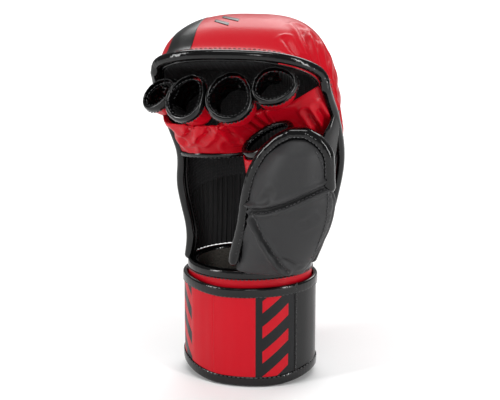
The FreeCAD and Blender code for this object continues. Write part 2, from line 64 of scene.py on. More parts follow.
# ---------------------------------------------------------------- numpy geometry
def spline(knots: np.ndarray, at: np.ndarray) -> np.ndarray:
    """Natural cubic spline through evenly spaced knots.

    On each span, p = a(1-f) + bf + ((1-f)^3 - (1-f)) m0/6 + (f^3 - f) m1/6, with the second
    derivatives m from the usual tridiagonal system.

    Args:
        knots: array (n, ...) of values to pass through.
        at: shares from 0 to 1, any shape.
    Returns:
        Array of at's shape plus the knots' trailing shape.
    """
    knots = np.asarray(knots, float)
    last = len(knots) - 1
    system, right = np.eye(last + 1), np.zeros_like(knots)
    for i in range(1, last):
        system[i, i - 1:i + 2] = (1, 4, 1)
        right[i] = 6 * (knots[i + 1] - 2 * knots[i] + knots[i - 1])
    second = np.linalg.solve(system, right.reshape(last + 1, -1)).reshape(right.shape)
    place = np.clip(np.asarray(at, float), 0, 1) * last
    i = np.minimum(place.astype(int), last - 1)
    f = (place - i).reshape(place.shape + (1,) * (knots.ndim - 1))
    return (knots[i] * (1 - f) + knots[i + 1] * f + ((1 - f) ** 3 - (1 - f)) * second[i] / 6
            + (f ** 3 - f) * second[i + 1] / 6)


def patch(rows: list, across: int, up: int) -> np.ndarray:
    """Smooth surface through rows of points: p(s, t) = spline over rows of spline along each row.

    Args:
        rows: control points, every row with as many.
        across: samples along a row.
        up: samples from row to row.
    Returns:
        Grid (across, up, 3).
    """
    grid = np.array(rows, float)
    along = spline(grid.transpose(1, 0, 2), np.linspace(0, 1, across))
    return spline(along.transpose(1, 0, 2), np.linspace(0, 1, up)).transpose(1, 0, 2)


def unit(v: np.ndarray) -> np.ndarray:
    """Vectors over their lengths, v / |v|, with zero kept as zero."""
    return v / np.maximum(np.linalg.norm(v, axis=-1, keepdims=True), 1e-9)


def normals(grid: np.ndarray, wrap_u: bool = False, wrap_v: bool = False) -> np.ndarray:
    """Unit normals of a grid, n = unit(dp/du x dp/dv), by central differences."""
    def slope(axis: int, wrap: bool) -> np.ndarray:
        if wrap:
            return np.roll(grid, -1, axis) - np.roll(grid, 1, axis)
        return np.gradient(grid, axis=axis)
    return unit(np.cross(slope(0, wrap_u), slope(1, wrap_v)))


def quads(nu: int, nv: int, wrap_u: bool = False, wrap_v: bool = False) -> np.ndarray:
    """Corner numbers of a grid's faces, vertex (i, j) being number i * nv + j."""
    i, j = np.meshgrid(np.arange(nu if wrap_u else nu - 1), np.arange(nv if wrap_v else nv - 1),
                       indexing="ij")
    i2, j2 = (i + 1) % nu, (j + 1) % nv
    return np.stack([i * nv + j, i2 * nv + j, i2 * nv + j2, i * nv + j2], -1).reshape(-1, 4)


def even(path: np.ndarray, spacing: float, *more: np.ndarray) -> list:
    """Points at equal arc length along a path; more arrays are read off at the same places."""
    step = np.linalg.norm(np.diff(path, axis=0), axis=1)
    length = np.concatenate([[0], np.cumsum(step)])
    count = max(2, int(length[-1] / spacing) + 1)
    at = np.linspace(0, length[-1], count)
    return [np.stack([np.interp(at, length, a[:, k]) for k in range(3)], -1) for a in (path, *more)]


def ripple(count: int, waves: float, seed: int, closed: bool = False) -> np.ndarray:
    """Smooth seeded noise in -1..1: a sum of five sines with random phases about the given wave number."""
    rng = np.random.default_rng(seed)
    t = np.linspace(0, 2 * np.pi, count, endpoint=not closed)
    total = np.zeros(count)
    for share in (0.45, 0.8, 1.0, 1.35, 1.9):
        total += np.sin(max(1, round(waves * share)) * t + rng.uniform(0, 2 * np.pi)) * rng.uniform(0.5, 1)
    return total / np.abs(total).max()


def distance(points: np.ndarray, line: tuple) -> np.ndarray:
    """Distance of points (..., 2) from a polyline, the least over its segments of |p - a - t (b - a)|."""
    line = np.array(line, float)
    best = np.full(points.shape[:-1], np.inf)
    for a, b in zip(line[:-1], line[1:]):
        way = b - a
        t = np.clip(((points - a) @ way) / (way @ way), 0, 1)
        best = np.minimum(best, np.linalg.norm(points - (a + t[..., None] * way), axis=-1))
    return best


def fold(points: np.ndarray, line: tuple, width: float, depth: float) -> np.ndarray:
    """Height of a crease and the soft ridges beside it: 1.25 d (0.5 exp(-(r/w - 1.9)^2) - exp(-(r/w)^2)).

    Args:
        points: array (..., 2).
        line: the crease's polyline in the same plane.
        width, depth: millimetres.
    Returns:
        Array (...), to be added along the normal.
    """
    r = distance(points, line) / width
    ends = np.array([line[0], line[-1]], float)
    near = np.minimum(*(np.linalg.norm(points - end, axis=-1) for end in ends))
    fade = np.clip(near / (2.5 * width), 0.25, 1)
    return 1.25 * depth * fade * (0.5 * np.exp(-(r - 1.9) ** 2) - np.exp(-r ** 2))


# ---------------------------------------------------------------- finishes
class Surface(Enum):
    """How a material's small relief is made."""
    GRAIN = "fine leather grain"
    PATENT = "puckered gloss"
    RIBS = "knitted ribs along one way"
    MESH = "open mesh knit"
    TERRY = "looped pile"
    HOOK = "hook and loop"
    THREAD = "twisted thread"


@dataclass(frozen=True)
class Finish:
    """A procedural material; colours are linear RGB."""
    name: str
    colour: tuple
    surface: Surface
    slot: str
    roughness: float = 0.4
    coat: float = 0.0
    scale: float = 900.0
    bump: float = 0.25
    specular: float = 0.3
    print_: tuple = ()

    def build(self) -> bpy.types.Material:
        """Makes the material once, and gives the same one after that.

        Returns:
            The node material.
        """
        name = "look_" + self.name
        if name in bpy.data.materials:
            return bpy.data.materials[name]
        material = bpy.data.materials.new(name)
        material.use_nodes = True
        tree = Nodes(material.node_tree)
        shader = material.node_tree.nodes["Principled BSDF"]
        shader.inputs["Roughness"].default_value = self.roughness
        shader.inputs["Coat Weight"].default_value = self.coat
        shader.inputs["Coat Roughness"].default_value = 0.12
        shader.inputs["Specular IOR Level"].default_value = self.specular
        if self.surface in (Surface.TERRY, Surface.RIBS, Surface.MESH, Surface.HOOK):
            shader.inputs["Sheen Weight"].default_value = 0.03
        height, tone_and_groove_shade = self.relief(tree)
        # colour darkened by the relief's second socket: painted shade in the knits' grooves and holes, random
        # mottle or relief tone on the rest
        tint = tree.mix(self.colour, tuple(c * 0.45 for c in self.colour), tone_and_groove_shade)
        if self.print_:
            dark = (0.010, 0.010, 0.011)
            tint = tree.mix(tint, dark, self.stripes(tree))
        tree.link(tint, shader.inputs["Base Color"])
        bump = tree.add("ShaderNodeBump", Strength=self.bump, Distance=0.0006)
        tree.link(height, bump.inputs["Height"])
        tree.link(bump.outputs["Normal"], shader.inputs["Normal"])
        return material

    def relief(self, tree: "Nodes") -> tuple:
        """Height socket and darkening socket of the small relief.

        Args:
            tree: the material's node helper.
        Returns:
            Height socket, and a socket from 0 to 1 that darkens the colour: a random mottle on the leathers
            and the patent tape, painted shade in the grooves and holes of the knits, and a tone that rises
            with the relief on terry, hook and loop, and thread.
        """
        where = tree.object_coords()
        if self.surface in (Surface.RIBS, Surface.MESH):
            x, y = tree.uv()
            rib = tree.wave(x, self.scale)
            if self.surface is Surface.MESH:
                rib = tree.maths("MULTIPLY", rib, tree.wave(y, self.scale * 0.8))
            fine = tree.noise(where, 2500.0)
            # 1 - rib is high in the rib grooves and mesh holes, so the colour darkens there: painted shade
            low = tree.maths("SUBTRACT", 1.0, rib)
            height = tree.maths("ADD", rib, tree.maths("MULTIPLY", fine, 0.25))
            return height, tree.maths("MULTIPLY", low, 0.7)
        if self.surface is Surface.THREAD:
            x, _ = tree.uv()
            twist = tree.wave(x, self.scale)
            return twist, tree.maths("MULTIPLY", twist, 0.4)
        if self.surface in (Surface.TERRY, Surface.HOOK):
            loops = tree.voronoi(where, self.scale)
            return loops, tree.maths("MULTIPLY", loops, 0.9)
        grain = tree.voronoi(where, self.scale)
        cloud = tree.noise(where, 28.0 if self.surface is Surface.GRAIN else 55.0)
        big = 1.2 if self.surface is Surface.GRAIN else 3.5
        height = tree.maths("ADD", tree.maths("MULTIPLY", grain, 0.35), tree.maths("MULTIPLY", cloud, big))
        return height, tree.maths("MULTIPLY", tree.noise(where, 12.0), 0.35)

    def stripes(self, tree: "Nodes") -> object:
        """Socket that is 1 where the printed pattern is dark.

        The pattern lies in the pattern map, x in millimetres from a seam and y in millimetres up:
        dark where 0 < x < bar, and in bar < x < end dark unless frac((y - lean x) / pitch) < share;
        dark for all x > end.
        """
        bar, end, lean, pitch, share, shift = self.print_
        x, y = tree.uv()
        past_seam = tree.maths("GREATER_THAN", x, 0.0)
        slanted = tree.maths("SUBTRACT", y, tree.maths("MULTIPLY", x, lean))
        phase = tree.maths("FRACT", tree.maths("DIVIDE", tree.maths("ADD", slanted, shift), pitch))
        light = tree.maths("LESS_THAN", phase, share)
        zone = tree.maths("MULTIPLY", tree.maths("GREATER_THAN", x, bar), tree.maths("LESS_THAN", x, end))
        dark = tree.maths("SUBTRACT", 1.0, tree.maths("MULTIPLY", light, zone))
        return tree.maths("MULTIPLY", past_seam, dark)


class Nodes:
    """Short ways to add shader nodes to one tree."""

    def __init__(self, tree: bpy.types.NodeTree) -> None:
        self.tree = tree

    def add(self, kind: str, **values: float) -> bpy.types.Node:
        """Adds a node and sets its inputs by name."""
        node = self.tree.nodes.new(kind)
        for name, value in values.items():
            node.inputs[name].default_value = value
        return node

    def link(self, source: object, target: object) -> None:
        """Links a socket, or sets a plain value."""
        if isinstance(source, (int, float)):
            target.default_value = source
        elif isinstance(source, tuple):
            target.default_value = (*source, 1.0)
        else:
            self.tree.links.new(source, target)

    def maths(self, operation: str, a: object, b: object = 0.0) -> object:
        """One math node of two values."""
        node = self.add("ShaderNodeMath")
        node.operation = operation
        self.link(a, node.inputs[0])
        self.link(b, node.inputs[1])
        return node.outputs[0]

    def mix(self, a: object, b: object, share: object) -> object:
        """Colour a to b by share."""
        node = self.add("ShaderNodeMix")
        node.data_type = "RGBA"
        self.link(share, node.inputs["Factor"])
        self.link(a, node.inputs[6])
        self.link(b, node.inputs[7])
        return node.outputs[2]

    def object_coords(self) -> object:
        """Object coordinates."""
        return self.add("ShaderNodeTexCoord").outputs["Object"]

    def uv(self) -> tuple:
        """The two parts of the pattern map."""
        node = self.add("ShaderNodeUVMap")
        node.uv_map = "pattern"
        parts = self.add("ShaderNodeSeparateXYZ")
        self.link(node.outputs[0], parts.inputs[0])
        return parts.outputs[0], parts.outputs[1]

    def wave(self, x: object, times: float) -> object:
        """0.5 + 0.5 sin(times x)."""
        sine = self.maths("SINE", self.maths("MULTIPLY", x, times))
        return self.maths("ADD", self.maths("MULTIPLY", sine, 0.5), 0.5)

    def noise(self, where: object, scale: float) -> object:
        """Fractal noise in about 0..1."""
        node = self.add("ShaderNodeTexNoise", Scale=scale, Detail=3.0)
        self.link(where, node.inputs["Vector"])
        return node.outputs[0]

    def voronoi(self, where: object, scale: float) -> object:
        """Distance to the nearest cell centre."""
        node = self.add("ShaderNodeTexVoronoi", Scale=scale)
        self.link(where, node.inputs["Vector"])
        return node.outputs[0]


RED = Finish("red_leather", (0.50, 0.0012, 0.010), Surface.GRAIN, "red_leather",
             roughness=0.36, coat=0.05, scale=1500.0, bump=0.22, specular=0.17)
BLACK = Finish("black_leather", (0.005, 0.005, 0.0053), Surface.GRAIN, "black_leather",
               roughness=0.28, coat=0.0, scale=1500.0, bump=0.22, specular=0.32)
GREY = Finish("grey_leather", (0.026, 0.026, 0.027), Surface.GRAIN, "grey_leather",
              roughness=0.50, coat=0.0, scale=1800.0, bump=0.25, specular=0.25)
PATENT = Finish("patent_tape", (0.001, 0.001, 0.0012), Surface.PATENT, "binding",
                roughness=0.13, coat=0.10, scale=700.0, bump=0.16, specular=0.34)
RIBBED = Finish("ribbed_knit", (0.013, 0.013, 0.0135), Surface.RIBS, "ribbed_knit",
                roughness=0.70, coat=0.0, scale=3.2, bump=0.8, specular=0.2)
MESH = Finish("mesh_knit", (0.020, 0.020, 0.021), Surface.MESH, "mesh_knit",
              roughness=0.70, coat=0.0, scale=3.4, bump=0.6, specular=0.2)
TERRY = Finish("terry", (0.085, 0.078, 0.068), Surface.TERRY, "terry",
               roughness=0.95, coat=0.0, scale=900.0, bump=0.9, specular=0.1)
HOOK = Finish("hook_loop", (0.012, 0.012, 0.013), Surface.HOOK, "hook_loop",
              roughness=0.85, coat=0.0, scale=1100.0, bump=0.8, specular=0.1)
THREAD = Finish("black_thread", (0.035, 0.035, 0.037), Surface.THREAD, "binding",
                roughness=0.38, coat=0.2, scale=9.0, bump=0.6, specular=0.5)
FRONT_PRINT = replace(RED, name="printed_front", print_=(5.2, 26.0, 0.80, 19.6, 0.47, 5.0))
SIDE_PRINT = replace(RED, name="printed_side", print_=(0.01, 22.0, 0.95, 19.6, 0.47, 5.0))


# ---------------------------------------------------------------- mesh makers
def mesh_object(name: str, points: np.ndarray, faces: np.ndarray, finish: Finish,
                uv: np.ndarray = None) -> object:
    """Makes an object from points in millimetres.

    Args:
        name: the piece's name.
        points: array (n, 3).
        faces: array (m, 4) of corner numbers.
        finish: its material.
        uv: optional array (n, 2), the pattern map.
    Returns:
        The new object.
    """
    mesh = bpy.data.meshes.new(name)
    mesh.from_pydata((points * MM).tolist(), [], faces.tolist())
    mesh.polygons.foreach_set("use_smooth", np.ones(len(mesh.polygons), bool))
    layer = mesh.uv_layers.new(name="pattern")
    table = np.zeros((len(points), 2)) if uv is None else uv
    layer.data.foreach_set("uv", table[faces.ravel()].ravel())
    mesh.materials.append(finish.build())
    mesh.update()
    thing = bpy.data.objects.new(name, mesh)
    bpy.context.collection.objects.link(thing)
    return thing


def sheet_object(name: str, top: np.ndarray, thickness: float, finish: Finish, uv: np.ndarray = None,
                 wrap: bool = False) -> object:
    """Closed sheet under a grid: the far side is p - n * thickness, with n the grid's normal.

    Args:
        name: the piece's name.
        top: grid (nu, nv, 3) whose normals point outward.
        thickness: millimetres.
        finish: its material.
        uv: optional grid (nu, nv, 2).
        wrap: the grid closes along u.
    Returns:
        The new object.
    """
    nu, nv = top.shape[:2]
    under = top - normals(top, wrap_u=wrap) * thickness
    loop = np.concatenate([top, under[:, ::-1]], 1)
    faces = quads(nu, 2 * nv, wrap, True)
    if not wrap:
        j = np.arange(nv - 1)
        first = np.stack([j, j + 1, 2 * nv - 2 - j, 2 * nv - 1 - j], -1)
        faces = np.concatenate([faces, first, (first + (nu - 1) * 2 * nv)[:, ::-1]])
    table = None if uv is None else np.concatenate([uv, uv[:, ::-1]], 1).reshape(-1, 2)
    return mesh_object(name, loop.reshape(-1, 3), faces, finish, table)


def tube_object(name: str, path: np.ndarray, side: np.ndarray, half_side: object, half_other: object,
                finish: Finish, closed: bool = False, power: float = 1.0, around: int = 16) -> object:
    """Rounded strip along a path; its section is (a sgn(c)|c|^power, b sgn(s)|s|^power).

    Args:
        name: the piece's name.
        path: points (n, 3).
        side: rough direction (n, 3) of the section's first half width.
        half_side, half_other: half widths, numbers or arrays (n,).
        finish: its material.
        closed: the path is a ring.
        power: under 1 makes the section boxier.
        around: points round the section.
    Returns:
        The new object.
    """
    way = (np.roll(path, -1, 0) - np.roll(path, 1, 0)) if closed else np.gradient(path, axis=0)
    way = unit(way)
    first = unit(side - (side * way).sum(-1, keepdims=True) * way)
    second = np.cross(way, first)
    angle = np.linspace(0, 2 * np.pi, around, endpoint=False)
    cos, sin = (np.sign(f) * np.abs(f) ** power for f in (np.cos(angle), np.sin(angle)))
    a, b = (np.broadcast_to(np.asarray(v, float), (len(path),)) for v in (half_side, half_other))
    ring = (path[:, None] + first[:, None] * (a[:, None] * cos)[..., None]
            + second[:, None] * (b[:, None] * sin)[..., None])
    if not closed:
        ends = []
        for k, sign in ((0, -1), (-1, 1)):
            spot, reach = path[k], min(a[k], b[k])
            ends.append([spot + (ring[k] - spot) * shrink + way[k] * sign * reach * out
                         for shrink, out in ((0.85, 0.4), (0.5, 0.75), (0.02, 0.9))])
        ring = np.concatenate([np.array(ends[0])[::-1], ring, np.array(ends[1])])
    length = np.concatenate([[0], np.cumsum(np.linalg.norm(np.diff(ring.mean(1), axis=0), axis=1))])
    uv = np.stack(np.broadcast_arrays(length[:, None], angle[None]), -1)
    return mesh_object(name, ring.reshape(-1, 3), quads(*ring.shape[:2], closed, True)[:, ::-1], finish,
                       uv.reshape(-1, 2))


def stitch_object(name: str, path: np.ndarray, lift: np.ndarray, pitch: float = 3.2, length: float = 2.3,
                  radius: float = 0.38, finish: Finish = THREAD) -> object:
    """Row of thread stitches along a path, each a small capsule that lies on the surface.

    Args:
        name: the piece's name.
        path: points (n, 3) on the surface.
        lift: outward directions (n, 3).
        pitch, length, radius: millimetres.
        finish: the thread's material.
    Returns:
        The new object.
    """
    spots, up = even(path, pitch, lift)
    way = unit(np.gradient(spots, axis=0))
    up = unit(up - (up * way).sum(-1, keepdims=True) * way)
    across = np.cross(way, up)
    along = np.array([-1.0, -0.75, 0.0, 0.75, 1.0])
    thick = np.array([0.3, 0.9, 1.0, 0.9, 0.3])
    rise = np.array([-0.5, 0.1, 0.45, 0.1, -0.5])
    angle = np.linspace(0, 2 * np.pi, 6, endpoint=False)
    body = (spots[:, None, None] + way[:, None, None] * (along * length / 2)[None, :, None, None]
            + up[:, None, None] * ((rise[:, None] + thick[:, None] * np.cos(angle)) * radius)[None, ..., None]
            + across[:, None, None] * ((thick[:, None] * np.sin(angle)) * radius)[None, ..., None])
    count = len(spots)
    one = quads(5, 6, False, True)
    faces = (one[None] + (np.arange(count) * 30)[:, None, None]).reshape(-1, 4)
    uv = np.stack(np.broadcast_arrays((along * length / 2)[None, :, None], angle[None, None]), -1)
    uv = np.broadcast_to(uv, (count, 5, 6, 2)).reshape(-1, 2)
    return mesh_object(name, body.reshape(-1, 3), faces, finish, uv)


def outward_grid(grid: np.ndarray, centre: object, wrap: bool = False) -> np.ndarray:
    """The grid with its second axis reversed if its normals point towards the centre."""
    facing = (normals(grid, wrap_u=wrap) * (grid - np.asarray(centre, float))).sum()
    return grid if facing > 0 else grid[:, ::-1]


def ring_sheet(name: str, grid: np.ndarray, thickness: float, finish: Finish) -> object:
    """Sheet that closes along u, its outer side away from its own middle line."""
    outside = outward_grid(grid, grid.mean(0, keepdims=True), True)
    return sheet_object(name, outside, thickness, finish, wrap=True)


@dataclass
class HandSection:
    """A section of the glove whose pieces all go with the hand."""
    pieces: list = field(default_factory=list)

    def dress(self) -> None:
        """Lets every piece ride on the hand."""
        for piece in self.pieces:
            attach(piece, "hand")
        log.info("%s: %d pieces", type(self).__name__, len(self.pieces))


# ---------------------------------------------------------------- cuff and strap
def oval(offset: object, degrees: object, z: object) -> np.ndarray:
    """Point on the cuff's oval: ((w + o) cos a, (d + o) sin a, z)."""
    angle = np.radians(degrees)
    wide, deep = CUFF_HALF[0] + offset, CUFF_HALF[1] + offset
    parts = np.broadcast_arrays(wide * np.cos(angle), deep * np.sin(angle), z)
    return np.stack(parts, -1).astype(float)


def outward(degrees: np.ndarray) -> np.ndarray:
    """Unit normal of the oval at an angle."""
    angle = np.radians(degrees)
    return unit(np.stack([CUFF_HALF[1] * np.cos(angle), CUFF_HALF[0] * np.sin(angle), 0 * angle], -1))


def rim_low(x: np.ndarray, lift: float = 0.0) -> np.ndarray:
    """Height of the lower rim: flat in the middle, an arc of RIM_RADIUS towards each end."""
    past = np.maximum(0, np.maximum(x - RIM_FLAT[1], RIM_FLAT[0] - x))
    return lift + RIM_RADIUS - np.sqrt(RIM_RADIUS ** 2 - past ** 2)


@dataclass
class Cuff(HandSection):
    """The oval cuff: lining, shell, terry collar, and the rolled tapes of its two rims."""
    SHELL, TAPE_MIDDLE, TAPE_HALF = 5.6, 2.8, 3.75       # radial places, and half a tape's height
    STITCH_AT, STITCH_OFF = 6.35, 3.1       # stitch row: radial place, and way from the tape's middle
    COLLAR_DEG, COLLAR_LOW, COLLAR_TALL = (25, 192), 66, 21.0
    steps: int = 240

    def build(self) -> None:
        """Makes the shell and lining as one band each and the tapes as closed strips."""
        angle = np.linspace(0, 360, self.steps, endpoint=False)
        share = np.linspace(0, 1, 26)
        for name, offset, sign, finish, nodes in (
                ("cuff_outer_skin", self.SHELL, 1, RED, ("cuff_shell", "cuff_padding")),
                ("cuff_terry_lining", 0.0, -1, TERRY, ("wrist_lining",))):
            x = (CUFF_HALF[0] + offset) * np.cos(np.radians(angle))
            low, high = rim_low(x, 1.6)[:, None], (CUFF_TOP - 1.6 + CUFF_SLOPE * x)[:, None]
            z = low + (high - low) * share
            puff = 0.25 * np.sin(np.pi * share) ** 0.5 * sign
            grid = oval(offset + puff[None] * (sign > 0), angle[:, None], z)
            grid = grid if sign > 0 else grid[:, ::-1]
            piece = sheet_object(name, grid, 1.1 if sign > 0 else 0.9, finish, wrap=True)
            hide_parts(*nodes)
            self.pieces.append(piece)
        turn = np.linspace(*self.COLLAR_DEG, 110)
        x = CUFF_HALF[0] * np.cos(np.radians(turn))
        height = self.COLLAR_LOW + np.linspace(0, self.COLLAR_TALL, 14)[None] + (CUFF_SLOPE * x)[:, None]
        collar = oval(-1.7 + 0.7 * np.clip((82 - height) / 10, 0, 1), turn[:, None], height)
        collar = outward_grid(collar, (0, 90, 80))
        self.pieces.append(sheet_object("cuff_terry_collar", collar, 0.8, TERRY))
        for name, top, node in (("cuff_top_tape", True, "cuff_top_binding"),
                                ("cuff_bottom_tape", False, "cuff_bottom_binding")):
            x = (CUFF_HALF[0] + self.TAPE_MIDDLE) * np.cos(np.radians(angle))
            z = CUFF_TOP - self.TAPE_HALF + CUFF_SLOPE * x if top else rim_low(x, self.TAPE_HALF)
            path = oval(self.TAPE_MIDDLE, angle, z)
            thick = 3.55 + 0.10 * ripple(self.steps, 70, 4, True)
            tape = tube_object(name, path, outward(angle), thick, 3.72, PATENT, True, 0.55, 24)
            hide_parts(node)
            side = -1 if top else 1
            row = oval(self.STITCH_AT, angle, z + self.STITCH_OFF * side)
            threads = stitch_object(name + "_stitches", row, outward(angle) + np.array([0, 0, 0.4 * side]))
            self.pieces += [tape, threads]


@dataclass(frozen=True)
class Span:
    """One stretch of the strap: its ends and fold in degrees, the body or bodies it sits on or between, the
    angle where its printed pattern starts, and the CAD nodes it stands for."""
    name: str
    start: float
    end: float
    bodies: tuple
    fold: float
    finish: Finish
    zero: float
    nodes: tuple


@dataclass
class WristStrap:
    """The wrap-around strap, in stretches, and the fixed side panel."""
    LIFT, LIFT_FROM, LIFT_OVER = 3.2, -100, 55    # the top edge rises past an angle, over so many degrees
    TAPE_IN, TAPE_THICK, TAPE_HALF = 3.6, 1.72, 3.7
    pieces: list = field(default_factory=list)

    def build(self) -> None:
        """Makes every stretch as a padded band with a rolled tape and stitches at both edges."""
        spans = (
            Span("strap_front", SEAM_DEG, CUTS_DEG[0], ("hand", "strap_front"), FOLDS_DEG[0], FRONT_PRINT,
                 FOLDS_DEG[0], ("strap_striped_panel", "strap_striped_binding")),
            Span("strap_side", *CUTS_DEG, ("strap_front", "strap_side"), FOLDS_DEG[1], SIDE_PRINT,
                 -141.0, ("strap_front_panel", "strap_front_binding")),
            Span("strap_tab", CUTS_DEG[1], END_DEG, ("strap_side", "strap_tab"), FOLDS_DEG[2], BLACK, 0.0,
                 ("strap_side_panel", "strap_side_binding", "strap_tab_panel", "strap_tab_binding")),
            Span("side_panel", BACK_END_DEG, SEAM_DEG + 0.4, ("hand",), 0.0, BLACK, 0.0,
                 ("side_panel", "side_panel_binding")),
        )
        for span in spans:
            self.stretch(span)
        self.seams()

    def band(self, start: float, end: float, offset: float, up: int) -> tuple:
        """Angles, heights and outer grid of the strap between two angles.

        Args:
            start, end: degrees, going clockwise.
            offset: radial place of the strap's outer face.
            up: samples in height.
        Returns:
            Angles, low and high edge heights and the tab's step out, each (n,), and the grid (n, up, 3).
        """
        angle = np.linspace(start, end, max(12, int(abs(end - start) * 1.6)))
        step = TAB_STEP * np.clip((FOLDS_DEG[2] + 3 - angle) / 6, 0, 1)
        x = (CUFF_HALF[0] + offset) * np.cos(np.radians(angle))
        rise = np.clip((self.LIFT_FROM - angle) / self.LIFT_OVER, 0, 1)
        low, high = rim_low(x, 0.8), STRAP_TOP + STRAP_SLOPE * x + self.LIFT * rise * rise * (3 - 2 * rise)
        share = np.linspace(0.02, 0.98, up)
        puff = 0.35 * (np.sin(np.pi * share) ** 0.4) - 0.2
        soft = 0.25 * np.outer(ripple(len(angle), 3, 11), np.sin(np.pi * share))
        z = low[:, None] + (high - low)[:, None] * share
        grid = oval(offset + step[:, None] + puff[None] + soft, angle[:, None], z)
        return angle, low, high, step, grid

    def stretch(self, span: Span) -> None:
        """One band, its two tapes and their stitches; with one body they ride on it, with two they stay where
        they are built.
        """
        angle, low, high, step, grid = self.band(span.start, span.end, STRAP_OUT, 30)
        arc = np.radians(angle - span.zero) * (CUFF_HALF[0] + STRAP_OUT)
        if span.finish is SIDE_PRINT:
            arc = -arc
        uv = np.stack(np.broadcast_arrays(arc[:, None], grid[..., 2]), -1)
        made = [sheet_object(span.name + "_band", grid[:, ::-1], 2.3, span.finish, uv[:, ::-1])]
        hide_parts(*span.nodes)
        middle = (STRAP_IN + STRAP_OUT) / 2 + 0.45
        for label, z, side in (("upper", high - self.TAPE_IN, -1), ("lower", low + self.TAPE_IN, 1)):
            path = oval(middle + step, angle, z)
            tape = tube_object(f"{span.name}_{label}_tape", path, outward(angle),
                               self.TAPE_THICK + 0.07 * ripple(len(angle), 30, 5), self.TAPE_HALF, PATENT,
                               False, 0.5, 20)
            row = oval(STRAP_OUT + 0.55 + step, angle, z + 3.05 * side)
            made += [tape, stitch_object(f"{span.name}_{label}_stitches", row, outward(angle))]
        for piece in made:
            if len(span.bodies) == 1:
                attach(piece, span.bodies[0])
                continue
            spots = [oval(STRAP_OUT, span.fold + turn, 40.0) * MM for turn in (9, -9)]
            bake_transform(piece)
        self.pieces += made

    def seams(self) -> None:
        """Upright seam where the strap is sewn to the side panel: a puckered ridge with stitches."""
        z = np.linspace(9.5, 77.5, 60)
        for name, degrees in (("seam_thumb_side", SEAM_DEG + 1.5), ("seam_back", BACK_END_DEG - 4)):
            wobble = 0.5 * ripple(60, 14, 8)
            path = oval(STRAP_OUT + 0.2, degrees + wobble, z)
            lift = np.repeat(outward(np.array([degrees])), 60, 0)
            ridge = tube_object(name + "_ridge", path, lift, 0.35, 0.8, BLACK)
            threads = stitch_object(name + "_stitches", path + lift * 0.45, lift, 3.6, 2.4)
            for piece in (ridge, threads):
                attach(piece, "hand")
                self.pieces.append(piece)
        log.info("strap: %d pieces", len(self.pieces))


# ---------------------------------------------------------------- pad over the back of the hand
def rim_z(x: float) -> float:
    """Height of the pad's first station, just over the cuff's rim."""
    return CUFF_TOP + CUFF_SLOPE * x + 1


